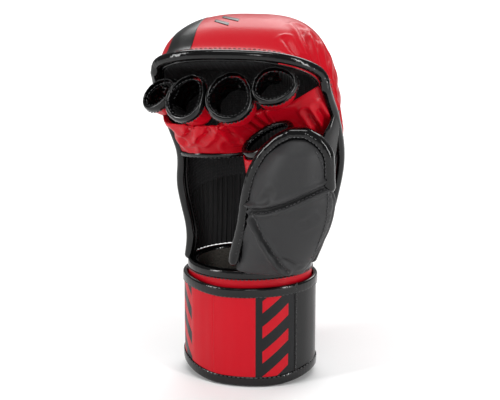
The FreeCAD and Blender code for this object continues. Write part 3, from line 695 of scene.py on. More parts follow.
class PadForm:
    """The pad's inner and outer walls as functions of turn (-1..1 across) and along (0..1 over the knuckles).

    A wall is an arch: p = M + (T - L) / 2 * sgn(s)|s|^f + (C - M) c^f with s, c the sine and cosine of
    turn * 90 degrees, L, C, T splines of the little-finger edge, the crown and the thumb edge, and
    M = (L + T) / 2.
    """
    LITTLE = [(-43.5, -2, rim_z(-43.5)), (-42.5, -2, 112), (-48.5, -2, 142), (-46.5, -9, 167),
              (-49.5, -17, 187), (-56, -21, 206), (-57, -30, 221), (-55, -41, 232.5), (-52, -50, 239),
              (-50, -56, 243)]
    THUMB = [(46, -2, rim_z(46)), (53.5, 1, 112), (61, 3, 142), (65.5, -2, 170), (65, -13, 193),
             (63, -24, 210), (59.5, -34, 223), (55, -43, 233), (50.5, -49, 239), (46, -54, 243)]
    CROWN_IN = [(0, 34, rim_z(0)), (0, 37, 117), (0, 38, 150), (0, 35, 182), (1, 25, 209), (2, 6, 226),
                (3, -17, 232), (3, -35, 235), (3, -49, 241), (3, -60, 248)]
    CROWN_OUT = [(0, 41, rim_z(0)), (0, 49, 117), (0, 56, 150), (0, 59, 187), (0, 57, 222), (1, 43, 251),
                 (2, 16, 268.5), (2, -16, 270), (3, -42, 263), (3, -60, 255)]
    LIP, TAPER_FROM = 6.5, 0.84

    def __init__(self) -> None:
        share = (np.linspace(0, 1, 10) ** 3)[:, None]
        out = np.array([4.6, 0, 0]) * (1 - share) + np.array([1.5, -1, 4]) * share
        little, thumb = np.array(self.LITTLE, float), np.array(self.THUMB, float)
        self.inner = (little, np.array(self.CROWN_IN, float), thumb)
        self.outer = (little + out * (-1, 1, 1), np.array(self.CROWN_OUT, float), thumb + out)

    def arch(self, curves: tuple, turn: np.ndarray, share: np.ndarray, power: np.ndarray) -> np.ndarray:
        """One wall's points; see the class for the formula."""
        little, crown, thumb = (spline(c, share) for c in curves)
        s, c = np.sin(turn * np.pi / 2), np.maximum(0, np.cos(turn * np.pi / 2))
        middle = (little + thumb) / 2
        power = np.broadcast_to(power, s.shape)
        return (middle + (thumb - little) / 2 * (np.sign(s) * np.abs(s) ** power)[..., None]
                + (crown - middle) * (c ** power)[..., None])

    def walls(self, turn: object, along: object) -> tuple:
        """Inner points, outer points and the unit vector between them."""
        turn, along = np.broadcast_arrays(np.asarray(turn, float), np.asarray(along, float))
        start = np.where(turn < 0, 0.80, 0.68)
        shape = np.where(turn < 0, 0.50, 0.65)
        cosine = np.maximum(0, np.cos(turn * np.pi / 2))
        share = along * (start + (1 - start) * cosine ** shape)
        rise = np.minimum(1, share / 0.5) ** 2
        inside = self.arch(self.inner, turn, share, 1.0 + (0.76 - 1.0) * rise)
        softer = 0.14 * rise * np.maximum(0, np.sin(turn * np.pi / 2))
        outside = self.arch(self.outer, turn, share, 0.95 + (0.72 - 0.95) * rise + softer)
        gap = outside - inside
        thick = np.linalg.norm(gap, axis=-1, keepdims=True)
        taper = (np.maximum(0, (along - self.TAPER_FROM) / (1 - self.TAPER_FROM)) ** 2)[..., None]
        way = unit(gap)
        return inside, inside + way * (thick + (self.LIP - thick) * taper), way

    def edge(self) -> tuple:
        """Round the pad's free edge: centres, ways out from the pad, inner points and outer points."""
        side = np.linspace(0, 1, 60)[:-1]
        lip = -np.cos(np.pi * np.linspace(0, 1, 150))
        turn = np.concatenate([-np.ones(59), lip, np.ones(59)])
        along = np.concatenate([side, np.ones(150), side[::-1]])
        inside, outside, way = self.walls(turn, along)
        centre = (inside + outside) / 2
        tangent = unit(np.gradient(centre, axis=0))
        away = unit(np.cross(tangent, way))
        for _ in range(4):
            away = unit(np.concatenate([away[:1], (away[:-2] + away[1:-1] * 2 + away[2:]) / 4, away[-1:]]))
        return centre, away, inside, outside


@dataclass
class BackPad(HandSection):
    """Skin, accent, linings and piping of the pad that curls over the knuckles.

    FOLDS has each fold's line in (turn, along), its half width and its depth.
    """
    form: PadForm = field(default_factory=PadForm)
    SPREAD = (60, 230)      # millimetres for one unit of turn and of along
    FOLDS = (
        (((0.40, 0.80), (0.545, 0.882), (0.70, 0.945), (0.81, 0.985)), 2.6, 2.6),
        (((0.33, 0.90), (0.46, 0.955), (0.56, 0.99)), 2.0, 1.5),
        (((0.60, 0.83), (0.72, 0.885), (0.82, 0.925), (0.89, 0.955)), 2.6, 2.8),
        (((0.72, 0.79), (0.83, 0.855), (0.90, 0.885), (0.96, 0.905)), 2.6, 2.7),
        (((0.80, 0.72), (0.89, 0.79), (0.95, 0.83), (0.985, 0.85)), 2.6, 2.6),
        (((0.82, 0.62), (0.91, 0.70), (0.96, 0.75), (0.99, 0.77)), 2.6, 2.4),
        (((0.84, 0.52), (0.92, 0.60), (0.98, 0.67)), 2.6, 2.1),
        (((0.84, 0.42), (0.93, 0.50), (0.985, 0.56)), 2.8, 1.8),
        (((0.80, 0.34), (0.90, 0.41), (0.98, 0.46)), 2.8, 1.4),
        (((0.82, 0.24), (0.92, 0.30), (0.98, 0.34)), 2.8, 1.2),
        (((-0.86, 0.62), (-0.94, 0.68), (-0.99, 0.71)), 2.4, 1.4),
        (((-0.84, 0.44), (-0.93, 0.50), (-0.99, 0.54)), 2.4, 1.4),
        (((-0.84, 0.28), (-0.94, 0.33), (-0.99, 0.36)), 2.4, 1.2),
        (((-0.3, 0.30), (0.0, 0.315), (0.3, 0.30)), 3.5, 0.8),
    )

    def pucker(self, turn: np.ndarray, along: np.ndarray) -> np.ndarray:
        """Height of the skin's folds, drawn in millimetres by SPREAD, plus fine edge gathers.

        h = sum of folds + 0.35 exp(-(1 - |turn|) / 0.05) sin(150 along + 2 sin(37 along)).
        """
        across, up = self.SPREAD
        spot = np.stack([turn * across, along * up], -1)
        height = sum(fold(spot, tuple((a * across, b * up) for a, b in line), width, depth)
                     for line, width, depth in self.FOLDS)
        near = np.exp(-(1 - np.abs(turn)) / 0.05) * np.clip((0.97 - along) / 0.1, 0, 1)
        return height + 0.35 * near * np.sin(along * 150 + 2 * np.sin(along * 37))

    def skin(self) -> np.ndarray:
        """Grid over the whole outer wall with its folds, which fade out at the free edges."""
        turn, along = np.meshgrid(np.linspace(-1, 1, 260), np.linspace(0, 1, 300), indexing="ij")
        _, outside, way = self.form.walls(turn, along)
        keep = np.clip(1 - np.abs(turn), 0, 0.05) / 0.05 * np.clip(1 - along, 0, 0.03) / 0.03
        return outside + way * (self.pucker(turn, along) * keep)[..., None]

    def build(self) -> None:
        """Makes the skin, accent, marks, linings and edge."""
        grid = outward_grid(self.skin(), (0, 0, 180))
        skin = sheet_object("pad_red_skin", grid, 1.1, RED)
        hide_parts("back_pad_shell", "back_pad_foam")
        self.pieces.append(skin)
        share, along = np.meshgrid(np.linspace(0, 1, 50), np.linspace(0.03, 0.985, 260), indexing="ij")
        left, right = -0.51 - 0.31 * along ** 6, -0.25 - 0.14 * along ** 4
        turn = left + (right - left) * share
        _, outside, way = self.form.walls(turn, along)
        accent = outside + way * (0.4 + self.pucker(turn, along))[..., None]
        black = sheet_object("pad_black_accent", outward_grid(accent, (0, 0, 180)), 0.5, BLACK)
        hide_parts("accent_panel")
        self.pieces.append(black)
        for k, (start, end, place) in enumerate(((-0.180, -0.070, 0.789), (-0.135, -0.025, 0.757))):
            share, turn = np.meshgrid(np.linspace(0, 1, 6), np.linspace(start, end, 16), indexing="ij")
            along = place + 0.020 * share + 0.30 * (turn - start)
            _, outside, way = self.form.walls(turn, along)
            mark = outward_grid(outside + way * 0.35, (0, 0, 180))
            self.pieces.append(sheet_object(f"pad_mark_{k + 1}", mark, 0.3, BLACK))
        self.linings()
        self.edges()

    def linings(self) -> None:
        """Ribbed knit on the back of the hand, a fold, then mesh knit; the ribs are real relief."""
        for name, lengths, finish, depth, node in (
                ("lining_ribbed", (0.0, 0.20), RIBBED, 0.8, "back_lining_ribbed"),
                ("lining_mesh", (0.195, 1.0), MESH, 0.25, "knuckle_lining_mesh")):
            turn, along = np.meshgrid(np.linspace(-1, 1, 520), np.linspace(*lengths, 120), indexing="ij")
            inside, _, way = self.form.walls(turn, along)
            step = np.linalg.norm(np.gradient(inside, axis=0), axis=-1)
            arc = np.cumsum(step, axis=0)
            arc = arc - arc[arc.shape[0] // 2]
            rib = depth * (0.5 + 0.5 * np.cos(arc * 2 * np.pi / 3.6)) ** 1.5
            fold = 1.2 * np.exp(-((along - 0.20) / 0.012) ** 2)
            up = np.cumsum(np.linalg.norm(np.gradient(inside, axis=1), axis=-1), axis=1)
            grid = inside + way * (1.0 - rib - fold)[..., None]
            uv = np.stack([arc, up], -1)
            if (normals(grid) * way).sum() > 0:
                grid, uv = grid[:, ::-1], uv[:, ::-1]
            piece = sheet_object(name, grid, 0.5, finish, uv)
            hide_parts(node)
            self.pieces.append(piece)

    def edges(self) -> None:
        """Glossy edge tape, a thin second piping inside it, a red sliver between, and their stitches."""
        centre, away, inside, outside = self.form.edge()
        inward = unit(inside - outside)
        puff = 0.09 * ripple(len(centre), 46, 3)
        tape = tube_object("pad_edge_tape", centre + away * 3.5, away, 3.35 + puff, 3.5 + puff * 0.6, PATENT,
                           False, 0.85, 20)
        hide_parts("pad_edge_piping")
        thin = inside + inward * 0.9 + away * 0.3
        narrow = 1.35 + 0.15 * ripple(len(centre), 80, 9)
        second = tube_object("pad_inner_piping", thin, away, narrow, 1.1, PATENT)
        thumb_side = slice(150, 262)
        line = (inside + inward * 0.3 + away * 1.3)[thumb_side]
        sliver = tube_object("pad_inner_sliver", line, away[thumb_side], 0.8, 0.7, RED)
        row = inside + inward * 1.3 - away * 2.2
        threads = stitch_object("pad_inner_stitches", row, inward, 3.0, 2.0, 0.4)
        outer_row = outside - away * 0.9 + unit(outside - inside) * 0.25
        more = stitch_object("pad_outer_stitches", outer_row, unit(outside - inside), 3.4, 2.2, 0.3)
        self.pieces += [tape, second, sliver, threads, more]


# ---------------------------------------------------------------- finger stalls
@dataclass(frozen=True)
class Stall:
    """One finger stall: centre and way of its opening, half widths there, roll in degrees, shares by
    which the half widths grow on one side, seed of its ripples, and how deep it reaches."""
    name: str
    centre: tuple
    way: tuple
    half: tuple
    roll: float
    more: tuple
    seed: int
    depth: float = 18.0

    def axes(self) -> tuple:
        """Pointing way, width axis and height axis, rolled about the way."""
        out = unit(np.array(self.way, float))
        width = unit(np.cross([0, 0, 1], out))
        height = np.cross(out, width)
        c, s = math.cos(math.radians(self.roll)), math.sin(math.radians(self.roll))
        return out, width * c + height * s, height * c - width * s

    def ring(self, place: object, grow: object, angle: np.ndarray) -> np.ndarray:
        """Point at a place along the finger: centre + out p + w (a k + g) cos + h (b k + g) sin, where the
        half widths a and b grow by `more` towards cos = 1 and sin = 1."""
        out, width, height = self.axes()
        place, grow, angle = np.broadcast_arrays(np.asarray(place, float), grow, angle)
        share = 1 + 0.12 * place / 18
        cosine, sine = np.cos(angle), np.sin(angle)
        wide = self.half[0] * (1 + self.more[0] * np.maximum(0, cosine))
        tall = self.half[1] * (1 + self.more[1] * np.maximum(0, sine))
        return (np.array(self.centre) + out * place[..., None]
                + width * ((wide * share + grow) * cosine)[..., None]
                + height * ((tall * share + grow) * sine)[..., None])


STALLS = (
    Stall("little", (-53.5, -47.0, 216.5), (-0.42, -0.76, 0.50), (12.5, 9.0), 44.0, (0.26, 0.10), 21, 9.0),
    Stall("ring", (-32.5, -58.0, 216.0), (-0.26, -0.85, 0.46), (14.3, 13.8), -24.0, (0.0, 0.35), 22),
    Stall("middle", (-1.2, -60.0, 218.5), (-0.06, -0.88, 0.46), (16.3, 14.8), -10.0, (0.0, 0.25), 23),
    Stall("index", (28.6, -56.0, 227.5), (0.08, -0.88, 0.47), (14.6, 11.0), 20.0, (0.12, 0.20), 24),
)


@dataclass
class FingerStalls:
    """The four stalls: red leather outside, a padded glossy double rim, and a lining inside."""
    around: int = 120
    pieces: list = field(default_factory=list)

    def build(self) -> None:
        """Makes each stall's leather, rim, inner lining and stitches."""
        for stall in STALLS:
            body = stall.name + "_stall"
            angle = np.linspace(0, 2 * np.pi, self.around, endpoint=False)
            wave = ripple(self.around, 11, stall.seed, True)
            fine = ripple(self.around, 34, stall.seed + 40, True)
            length = np.linspace(-stall.depth, 0.4, 24)
            leather = stall.ring(length[None], 0.25 * np.outer(wave, np.sin(np.linspace(0, np.pi, 24))),
                                 angle[:, None])
            red = ring_sheet(body + "_leather_skin", leather, 1.1, RED)
            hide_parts(f"{body}_leather")
            turn = np.linspace(0, 1, 30)
            profile = self.rim_profile(turn)
            swell = (1 + 0.10 * wave - 0.75 * np.clip(np.sin(angle), 0, 1) ** 0.7)[:, None]
            pucker = 0.22 * fine[:, None] * np.exp(-((turn[None] - 0.85) / 0.25) ** 2)
            grow = profile[0][None] * swell + pucker
            rim = stall.ring(profile[1][None] * np.ones((self.around, 1)), grow, angle[:, None])
            tape = ring_sheet(body + "_rim", rim, 0.5, PATENT)
            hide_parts(f"{body}_binding")
            made = [red, tape]
            made += self.lining(stall, body)
            outer = stall.ring(1.0, 1.25 + 0.1 * wave, angle)
            inner = stall.ring(5.0, -2.9, angle)
            out, _, _ = stall.axes()
            lift = unit(outer - np.array(stall.centre))
            made.append(stitch_object(body + "_outer_stitches", outer, lift, 2.7, 1.9, 0.36))
            made.append(stitch_object(body + "_inner_stitches", inner, out - 0.7 * lift, 2.7, 1.9, 0.34))
            for piece in made:
                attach(piece, body)
            self.pieces += made
        log.info("stalls: %d pieces", len(self.pieces))

    @staticmethod
    def rim_profile(turn: np.ndarray) -> tuple:
        """Grow and place of the rim's section: out over a fat roll, a dip, and in over a smaller roll."""
        knots = np.array([(0.1, -0.3), (1.0, 0.6), (1.15, 2.6), (0.55, 4.6), (-0.5, 6.0), (-1.5, 6.35),
                          (-2.5, 5.8), (-3.0, 4.2), (-2.9, 2.2), (-2.6, -0.5)], float)
        path = spline(knots, turn)
        return path[:, 0], path[:, 1]

    @staticmethod
    def lining(stall: Stall, body: str) -> list:
        """Inner wall: crinkled gloss on the little-finger side, ribbed mesh on the other."""
        made = []
        for name, start, end, finish in (("gloss", 0.30, 1.22, PATENT), ("knit", 1.18, 2.34, RIBBED)):
            part = np.linspace(start * np.pi, end * np.pi, 90)
            length = np.linspace(0.5 - stall.depth, 3.0, 40)
            rng = np.random.default_rng(stall.seed + 7)
            crumple = np.zeros((90, 40))
            for _ in range(16):
                a, b, c = rng.uniform(3, 13), rng.uniform(-0.9, 0.9), rng.uniform(0, 6.3)
                crumple += np.sin(part[:, None] * a + length[None] * b + c)
            crumple = 0.17 * np.sign(crumple) * np.abs(crumple / 2.0) ** 1.2
            relief = crumple if finish is PATENT else 0.18 * np.cos(part * 34)[:, None] * np.ones((1, 40))
            grid = stall.ring(length[None], -2.45 + relief, part[:, None])
            uv = np.stack(np.broadcast_arrays(part[:, None] * 12, length[None]), -1)
            if (normals(grid) * (grid - np.array(stall.centre))).sum() > 0:
                grid, uv = grid[:, ::-1], uv[:, ::-1]
            piece = sheet_object(f"{body}_inner_{name}", grid, 0.25, finish, uv)
            if finish is RIBBED:
                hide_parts(f"{body}_lining")
            made.append(piece)
        return made


# ---------------------------------------------------------------- palm side
@dataclass
class PalmSkin(HandSection):
    """Red leather from the stalls down over the fist and round to the index side, and its lower piping."""
    ROWS = (
        [(-49, -13, 171), (-44.5, -22, 172), (-35, -29.5, 173.5), (-22, -32, 174), (-6, -30, 175),
         (12, -24, 176.5), (32, -20.5, 178), (50, -17, 179.5), (68, -8, 182)],
        [(-51, -17, 182), (-47, -30, 183), (-38, -38, 183.5), (-24, -40.5, 183), (-8, -37, 183),
         (10, -28, 184), (32, -24, 187), (53, -23, 189), (70, -14, 193)],
        [(-54, -20, 194), (-51, -35, 192), (-42, -45, 191.5), (-26, -47.5, 190.5), (-8, -43, 191),
         (11, -32, 194), (32, -29, 199), (55, -30, 202), (70, -20, 207)],
        [(-58, -22, 204), (-55, -37, 197.5), (-44, -49, 198), (-29, -52, 197.5), (-8, -50, 199.5),
         (12, -40, 204.5), (32, -37, 209), (52, -38, 213), (67, -27, 219)],
        [(-60, -20, 210), (-54, -31, 199), (-43, -45, 197), (-29, -48, 196), (-8, -45, 198),
         (12, -38, 208), (32, -37, 213), (51, -40, 224), (65, -33, 231)],
    )

    def build(self) -> None:
        """Makes the skin as one surface with its creases, then its piping and stitches."""
        grid = patch(self.ROWS, 260, 150)
        creases = (
            (((-40, 185), (-34, 190), (-31, 198)), 2.4, 1.8),
            (((-26, 186), (-20, 191), (-17, 199)), 2.2, 1.5),
            (((-50, 190), (-42, 184), (-36, 178)), 2.4, 1.4),
            (((-16, 204), (-8, 196), (-2, 186)), 2.2, 1.9),
            (((3, 206), (9, 198), (18, 188)), 1.5, 1.8),
            (((9, 207), (15, 199), (24, 191)), 1.4, 1.6),
            (((-8, 181), (4, 179), (16, 182)), 2.6, 1.2),
            (((48, 208), (52, 200), (57, 190)), 2.2, 1.9),
            (((55, 212), (59, 203), (62, 194)), 2.0, 1.7),
            (((17, 213), (19, 204), (22, 196)), 1.0, 1.2),
            (((38, 196), (47, 191), (58, 188)), 3.0, 1.2),
        )
        height = sum(fold(grid[..., (0, 2)], *crease) for crease in creases)
        normal = normals(grid)
        if (normal[..., 1]).mean() > 0:
            grid, height, normal = grid[:, ::-1], height[:, ::-1], -normal[:, ::-1]
        skin = sheet_object("palm_red_skin", grid + normal * height[..., None], 1.2, RED)
        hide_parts("palm_band", "index_side_gusset")
        low = spline(np.array(self.ROWS[0], float), np.linspace(0, 1, 160))
        up = unit(spline(np.array(self.ROWS[1], float), np.linspace(0, 1, 160)) - low)
        out = unit(np.cross(up, np.gradient(low, axis=0)))
        out = out * np.sign(-out[:, 1:2])
        thick = 1.9 + 0.12 * ripple(160, 30, 2)
        tape = tube_object("palm_lower_tape", low - up * 1.9, up, 2.4, thick, PATENT, False, 0.8)
        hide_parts("palm_band_piping")
        threads = stitch_object("palm_tape_stitches", low - up * 2.6 + out * 1.7, out, 3.2, 2.3, 0.36)
        side = patch(([(66.5, -28, 208), (62.5, -31, 198), (58, -32, 188), (54, -28, 172), (52, -23, 160)],
                      [(68, -27, 208), (66, -29, 198), (63.5, -29, 188), (60.5, -23, 172), (59, -18, 160)],
                      [(69.5, -24, 208), (69.5, -22, 198), (68.5, -20, 188), (66, -14, 172),
                       (64, -10, 160)]), 80, 30)
        side = outward_grid(side, (30, 10, 190))
        gloss = sheet_object("side_gloss_panel", side, 0.9, PATENT)
        self.pieces += [skin, tape, threads, gloss]


# ---------------------------------------------------------------- thumb
@dataclass
class ThumbGuard:
    """Padded thumb: quilted grey front, back panel, edge tape, red inner tube with a ribbed lining."""
    PAD = ((92, 21.5, -42, 27, 12), (104, 27, -43, 29.5, 18), (125, 34.5, -45, 32, 21.5),
           (148, 38.5, -48, 33, 22.5), (170, 41, -51, 29.8, 21), (186, 45, -52.5, 24.6, 18),
           (196, 47, -53, 15.5, 12), (201, 48, -53, 6, 5))
    ROOM = ((88, 27, -33, 15, 10), (125, 30, -38, 15.5, 11.5), (160, 26.5, -42, 16, 12),
            (185, 23.5, -45, 16.5, 12), (215, 17, -49, 16.5, 12))
    MOUTH, MOUTH_WAY = (24, -45, 187.5), (-0.45, -0.35, 0.82)
    QUILT = ((14, 142), (26, 144.5), (40, 150), (54, 157), (66, 162))
    LOWER = ((15, 141), (22, 126), (30, 110), (37, 97))
    RIGHT = ((60, 186), (65, 174), (67.5, 158), (67, 140), (62, 122), (56, 106))
    pieces: list = field(default_factory=list)

    @staticmethod
    def section(table: tuple, z: np.ndarray) -> np.ndarray:
        """Centre x, centre y, half width and half depth at heights z, by a spline in the table's heights."""
        rows = np.array(table, float)
        share = np.interp(z, rows[:, 0], np.linspace(0, 1, len(rows)))
        return spline(rows[:, 1:], share)

    def oval(self, table: tuple, angle: np.ndarray, z: np.ndarray, grow: object,
             back: float = 1.0) -> np.ndarray:
        """Section point (cx + (hx + g) cos a, cy + (hy b + g) sin a, z), b under 1 behind the middle."""
        x, y, wide, deep = np.moveaxis(self.section(table, z), -1, 0)
        sine = np.sin(angle)
        depth = deep * np.where(sine > 0, back, 1.0) + grow
        return np.stack(np.broadcast_arrays(x + (wide + grow) * np.cos(angle), y + depth * sine, z), -1)

    def pad(self) -> list:
        """The padded form, a closed skin that swells and is pulled in along its seams, and its stitches."""
        share = np.linspace(0, 1, 130)
        z = 92.6 + (201.0 - 92.6) * (1 - (1 - share) ** 1.6)
        angle = np.linspace(0, 2 * np.pi, 220, endpoint=False)
        grid = self.oval(self.PAD, angle[:, None], z[None] + 0 * angle[:, None], -0.3, 0.6)
        middle = self.section(self.PAD, z)[None, :, 0]
        side = grid[..., 0] - middle
        tuck = np.where(side < 0, 0.15, 0.13 * np.clip((z[None] - 150) / 15, 0, 1))
        grid[..., 0] = middle + side * (1 - tuck)
        grid[..., 2] -= 3.8 * np.clip((grid[..., 2] - 165) / 36, 0, 1)
        normal = normals(grid, wrap_u=True)
        if (normal * (grid - np.array([35, -47, 145]))).sum() < 0:
            normal = -normal
        front = np.clip(-np.sin(angle)[:, None] / 0.35, 0, 1)
        seams = ((self.QUILT, 1.6, 3.2), (self.LOWER, 1.6, 2.8),
                 (((-2, 106), (5, 118), (14, 141)), 1.6, 2.4), (((22, 128), (17, 122)), 2.5, 1.0),
                 (((32, 110), (40, 106), (46, 101)), 1.6, 1.2), (((24, 150), (30, 158)), 2.2, 0.9),
                 (((57, 140), (50, 136)), 2.2, 0.9))
        depth = -sum(fold(grid[..., (0, 2)], *seam) for seam in seams) * front
        panel = np.clip(-np.sin(angle)[:, None], 0, 1) ** 0.5
        ring = np.exp(-((panel - 0.52) / 0.10) ** 2) * 1.3 * np.clip((z[None] - 96) / 12, 0, 1)
        wave = np.sin(z[None] * 1.7 + 3 * np.sin(z[None] * 0.5))
        gathers = 0.28 * wave * np.exp(-((panel - 0.62) / 0.12) ** 2)
        swell = 2.2 * front * np.sin(np.pi * np.clip((z - 96) / 100, 0, 1))[None]
        grid = grid + normal * (swell - depth - ring + gathers * front)[..., None]
        if (normals(grid, wrap_u=True) * normal).sum() < 0:
            grid = grid[:, ::-1]
        skin = sheet_object("thumb_grey_skin", grid, 1.0, GREY, wrap=True)
        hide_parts("thumb_pad_shell", "thumb_back_panel", "thumb_pad_foam")
        made = [skin]
        ahead = grid[..., 1] < -50
        for name, line, shift in (("quilt", self.QUILT, 2.0), ("lower", self.LOWER, 2.2),
                                  ("right", self.RIGHT, 0.0)):
            flat = spline(np.array(line, float), np.linspace(0, 1, 90)) + np.array([shift, -0.5 * shift])
            gap = np.linalg.norm(grid[ahead][None][..., (0, 2)] - flat[:, None], axis=-1)
            spot = grid[ahead][gap.argmin(1)]
            for _ in range(3):
                spot[1:-1] = (spot[:-2] + spot[1:-1] * 2 + spot[2:]) / 4
            lift = unit(spot - np.array([38, -35, 0]) * (1, 1, 0) - spot * (0, 0, 1))
            made.append(stitch_object(f"thumb_{name}_stitches", spot + lift * 0.25, lift, 2.9, 2.0, 0.42))
        return made

    def outline(self) -> tuple:
        """Path of the edge tape, up the little-finger side, over the top and down the other side.

        Returns:
            Points of the path and, at each, the way out from the middle of the pad; both (200, 3).
        """
        over = 186 + 15.2 * np.sin(np.linspace(0.03, 1, 30) * np.pi / 2)
        z = np.concatenate([np.linspace(93.5, 186, 70), over])
        left = self.oval(self.PAD, np.full(100, np.pi), z, 0.0)
        right = self.oval(self.PAD, np.zeros(100), z, 0.0)[::-1]
        path = np.concatenate([left, right])
        for _ in range(6):
            path[1:-1] = (path[:-2] + path[1:-1] * 2 + path[2:]) / 4
        path[:, 1] = -41.5 - 0.10 * (path[:, 2] - 91) - 1.0
        return path, unit(np.stack([path[:, 0] - 36, 0 * z.repeat(2), (path[:, 2] - 150) * 0.7], -1))

    def tube(self, grow: float, low: float, past: float, around: int) -> tuple:
        """Grid of the thumb's tube from a height up to past the plane of its mouth.

        The height where a line of the tube meets the plane n . (p - m) = past is found by halving.
        """
        angle = np.linspace(0, 2 * np.pi, around, endpoint=False)
        way, mouth = unit(np.array(self.MOUTH_WAY, float)), np.array(self.MOUTH, float)
        bottom, top = np.full(around, 120.0), np.full(around, 214.0)
        for _ in range(24):
            middle = (bottom + top) / 2
            over = (self.oval(self.ROOM, angle, middle, grow) - mouth) @ way > past
            top, bottom = np.where(over, middle, top), np.where(over, bottom, middle)
        share = np.linspace(0, 1, 60)
        z = low + (bottom[:, None] - low) * share
        return self.oval(self.ROOM, angle[:, None], z, grow), angle

    def build(self) -> None:
        """Makes the pad, tapes, inner tube, lining, mouth rim and stitches."""
        self.pieces += self.pad()
        path, out = self.outline()
        puff = 0.12 * ripple(len(path), 34, 6) - 2.2 * np.exp(-np.arange(len(path)) / 3.0)
        centre = path - out * 3.6 - np.array([0.0, 6.4, 0.0])
        keep, sewn = slice(3, 150), slice(8, 148)       # the tape stops part of the way down the far side
        halves = (4.5 + puff)[keep], (4.8 + puff)[keep]
        tape = tube_object("thumb_edge_tape", centre[keep], out[keep], *halves, PATENT, False, 0.9, 20)
        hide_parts("thumb_pad_binding")
        front = np.array([0.0, -1.0, 0.0])
        row = (centre - out * 1.7 + front * 4.3)[sewn]
        threads = stitch_object("thumb_edge_stitches", row, (front - out * 0.5)[sewn], 2.8, 2.0, 0.45)
        self.pieces += [tape, threads]
        self.mouth()

    def mouth(self) -> None:
        """Red tube with its ribbed lining and the puckered rim round the thumb's opening."""
        red, _ = self.tube(3.4, 92.6, 0.0, 140)
        tube = ring_sheet("thumb_red_tube", red, 1.0, RED)
        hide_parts("thumb_inner_panel")
        knit, angle = self.tube(0.6, 92.6, 2.0, 200)
        relief = 0.35 * np.cos(angle * 34)[:, None]
        centre = self.section(self.ROOM, knit[..., 2])[..., :2]
        knit[..., :2] += unit(knit[..., :2] - centre) * relief[..., None]
        knit = outward_grid(knit, knit.mean(0, keepdims=True), True)[:, ::-1]
        lining = sheet_object("thumb_ribbed_lining", knit, 0.4, RIBBED, wrap=True)
        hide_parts("thumb_lining")
        rim, _ = self.tube(1.7, 92.6, 2.6, 160)
        way = unit(np.array(self.MOUTH_WAY, float))
        edge = rim[:, -1]
        wave = ripple(160, 26, 17, True)
        roll = tube_object("thumb_mouth_rim", edge, way[None].repeat(160, 0), 2.9 + 0.25 * wave, 1.9, PATENT,
                           True, 0.75, 20)
        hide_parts("thumb_mouth_binding")
        middle = edge.mean(0)
        inner = edge + unit(middle - edge) * 1.75 + way * 0.6
        threads = stitch_object("thumb_mouth_stitches", np.concatenate([inner, inner[:1]]),
                                unit(middle - np.concatenate([inner, inner[:1]])), 2.6, 1.8, 0.4)
        self.pieces += [tube, lining, roll, threads]

    def dress(self) -> None:
        """The thumb's pieces go with the thumb."""
        for piece in self.pieces:
            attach(piece, "thumb")
        log.info("thumb: %d pieces", len(self.pieces))


# ---------------------------------------------------------------- fasteners and studio
@dataclass
class Fasteners:
    """The hook and loop patches, which keep their CAD shapes."""

    def build(self) -> None:
        """Gives the CAD patches their fabric."""
        for name in ("loop_patch", "hook_patch"):
            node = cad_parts[name]
            for slot in node.material_slots:
                slot.material = HOOK.build()
        log.info("fasteners: 2 CAD nodes")


@dataclass(frozen=True)
class Lamp:
    """A soft box: place, what it faces, size, power."""
    name: str
    place: tuple
    target: tuple
    size: tuple
    power: float


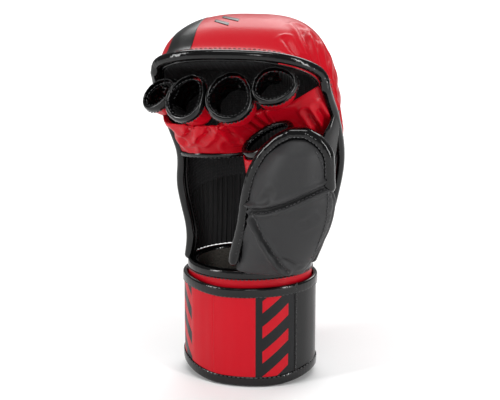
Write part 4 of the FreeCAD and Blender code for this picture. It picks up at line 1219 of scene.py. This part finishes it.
@dataclass
class Studio:
    """Pale floor, soft boxes and the camera."""
    LAMPS = (
        Lamp("key_left", (-0.95, -0.75, 0.55), (0, 0, 0.14), (0.20, 0.9), 8.5),
        Lamp("strip_right", (0.95, -0.55, 0.40), (0, 0, 0.13), (0.14, 0.9), 7.5),
        Lamp("top", (0.0, -0.35, 1.15), (0, 0, 0.15), (0.7, 0.30), 4.5),
        Lamp("front", (0.15, -1.5, 0.55), (0, 0, 0.13), (0.35, 0.35), 3.0),
        Lamp("back", (0.2, 1.3, 0.9), (0, 0, 0.15), (0.9, 0.6), 2.5),
        Lamp("backdrop", (0.0, 2.2, 1.8), (0, 2.2, 0.0), (2.6, 2.0), 75.0),
    )

    def build(self) -> None:
        """Makes the floor, the lamps, the world and the camera."""
        side = 6.0
        mesh = bpy.data.meshes.new("floor")
        corners = [(-side, -side, 0), (side, -side, 0), (side, side, 0), (-side, side, 0)]
        mesh.from_pydata(corners, [], [(0, 1, 2, 3)])
        floor = bpy.data.objects.new("floor", mesh)
        bpy.context.collection.objects.link(floor)
        pale = bpy.data.materials.new("pale_floor")
        pale.use_nodes = True
        shader = pale.node_tree.nodes["Principled BSDF"]
        shader.inputs["Base Color"].default_value = (0.90, 0.90, 0.90, 1)
        shader.inputs["Roughness"].default_value = 0.9
        mesh.materials.append(pale)
        for lamp in self.LAMPS:
            light = bpy.data.lights.new(lamp.name, "AREA")
            light.shape, (light.size, light.size_y), light.energy = "RECTANGLE", lamp.size, lamp.power
            thing = bpy.data.objects.new(lamp.name, light)
            thing.location = lamp.place
            facing = Vector(lamp.target) - Vector(lamp.place)
            thing.rotation_euler = facing.to_track_quat("-Z", "Y").to_euler()
            bpy.context.collection.objects.link(thing)
        world = bpy.data.worlds.new("studio")
        world.use_nodes = True
        ground = world.node_tree.nodes["Background"]
        ground.inputs["Color"].default_value = (1, 1, 1, 1)
        ground.inputs["Strength"].default_value = 0.25
        bpy.context.scene.world = world
        bpy.context.scene.view_settings.view_transform = "Standard"
        self.camera()
        log.info("studio: %d lamps", len(self.LAMPS))

    @staticmethod
    def camera() -> None:
        """Long lens, a little from the thumb side and a little from above."""
        azimuth, elevation, distance, target = math.radians(12), math.radians(15), 1.0, Vector((0, 0, 0.1325))
        back = Vector((math.sin(azimuth) * math.cos(elevation), -math.cos(azimuth) * math.cos(elevation),
                       math.sin(elevation)))
        data = bpy.data.cameras.new("camera")
        data.lens, data.sensor_width = 96.6, 36.0
        data.dof.use_dof = False
        camera = bpy.data.objects.new("camera", data)
        camera.location = target + back * distance
        camera.rotation_euler = (-back).to_track_quat("-Z", "Y").to_euler()
        bpy.context.collection.objects.link(camera)
        bpy.context.scene.camera = camera


def main() -> None:
    """Builds the glove piece by piece and logs each."""
    logging.basicConfig(level=logging.INFO, format="%(name)s %(message)s")
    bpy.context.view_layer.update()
    Studio().build()
    for part in (Cuff(), BackPad(), PalmSkin(), ThumbGuard()):
        part.build()
        part.dress()
    WristStrap().build()
    FingerStalls().build()
    Fasteners().build()


if __name__ == "__main__":
    main()
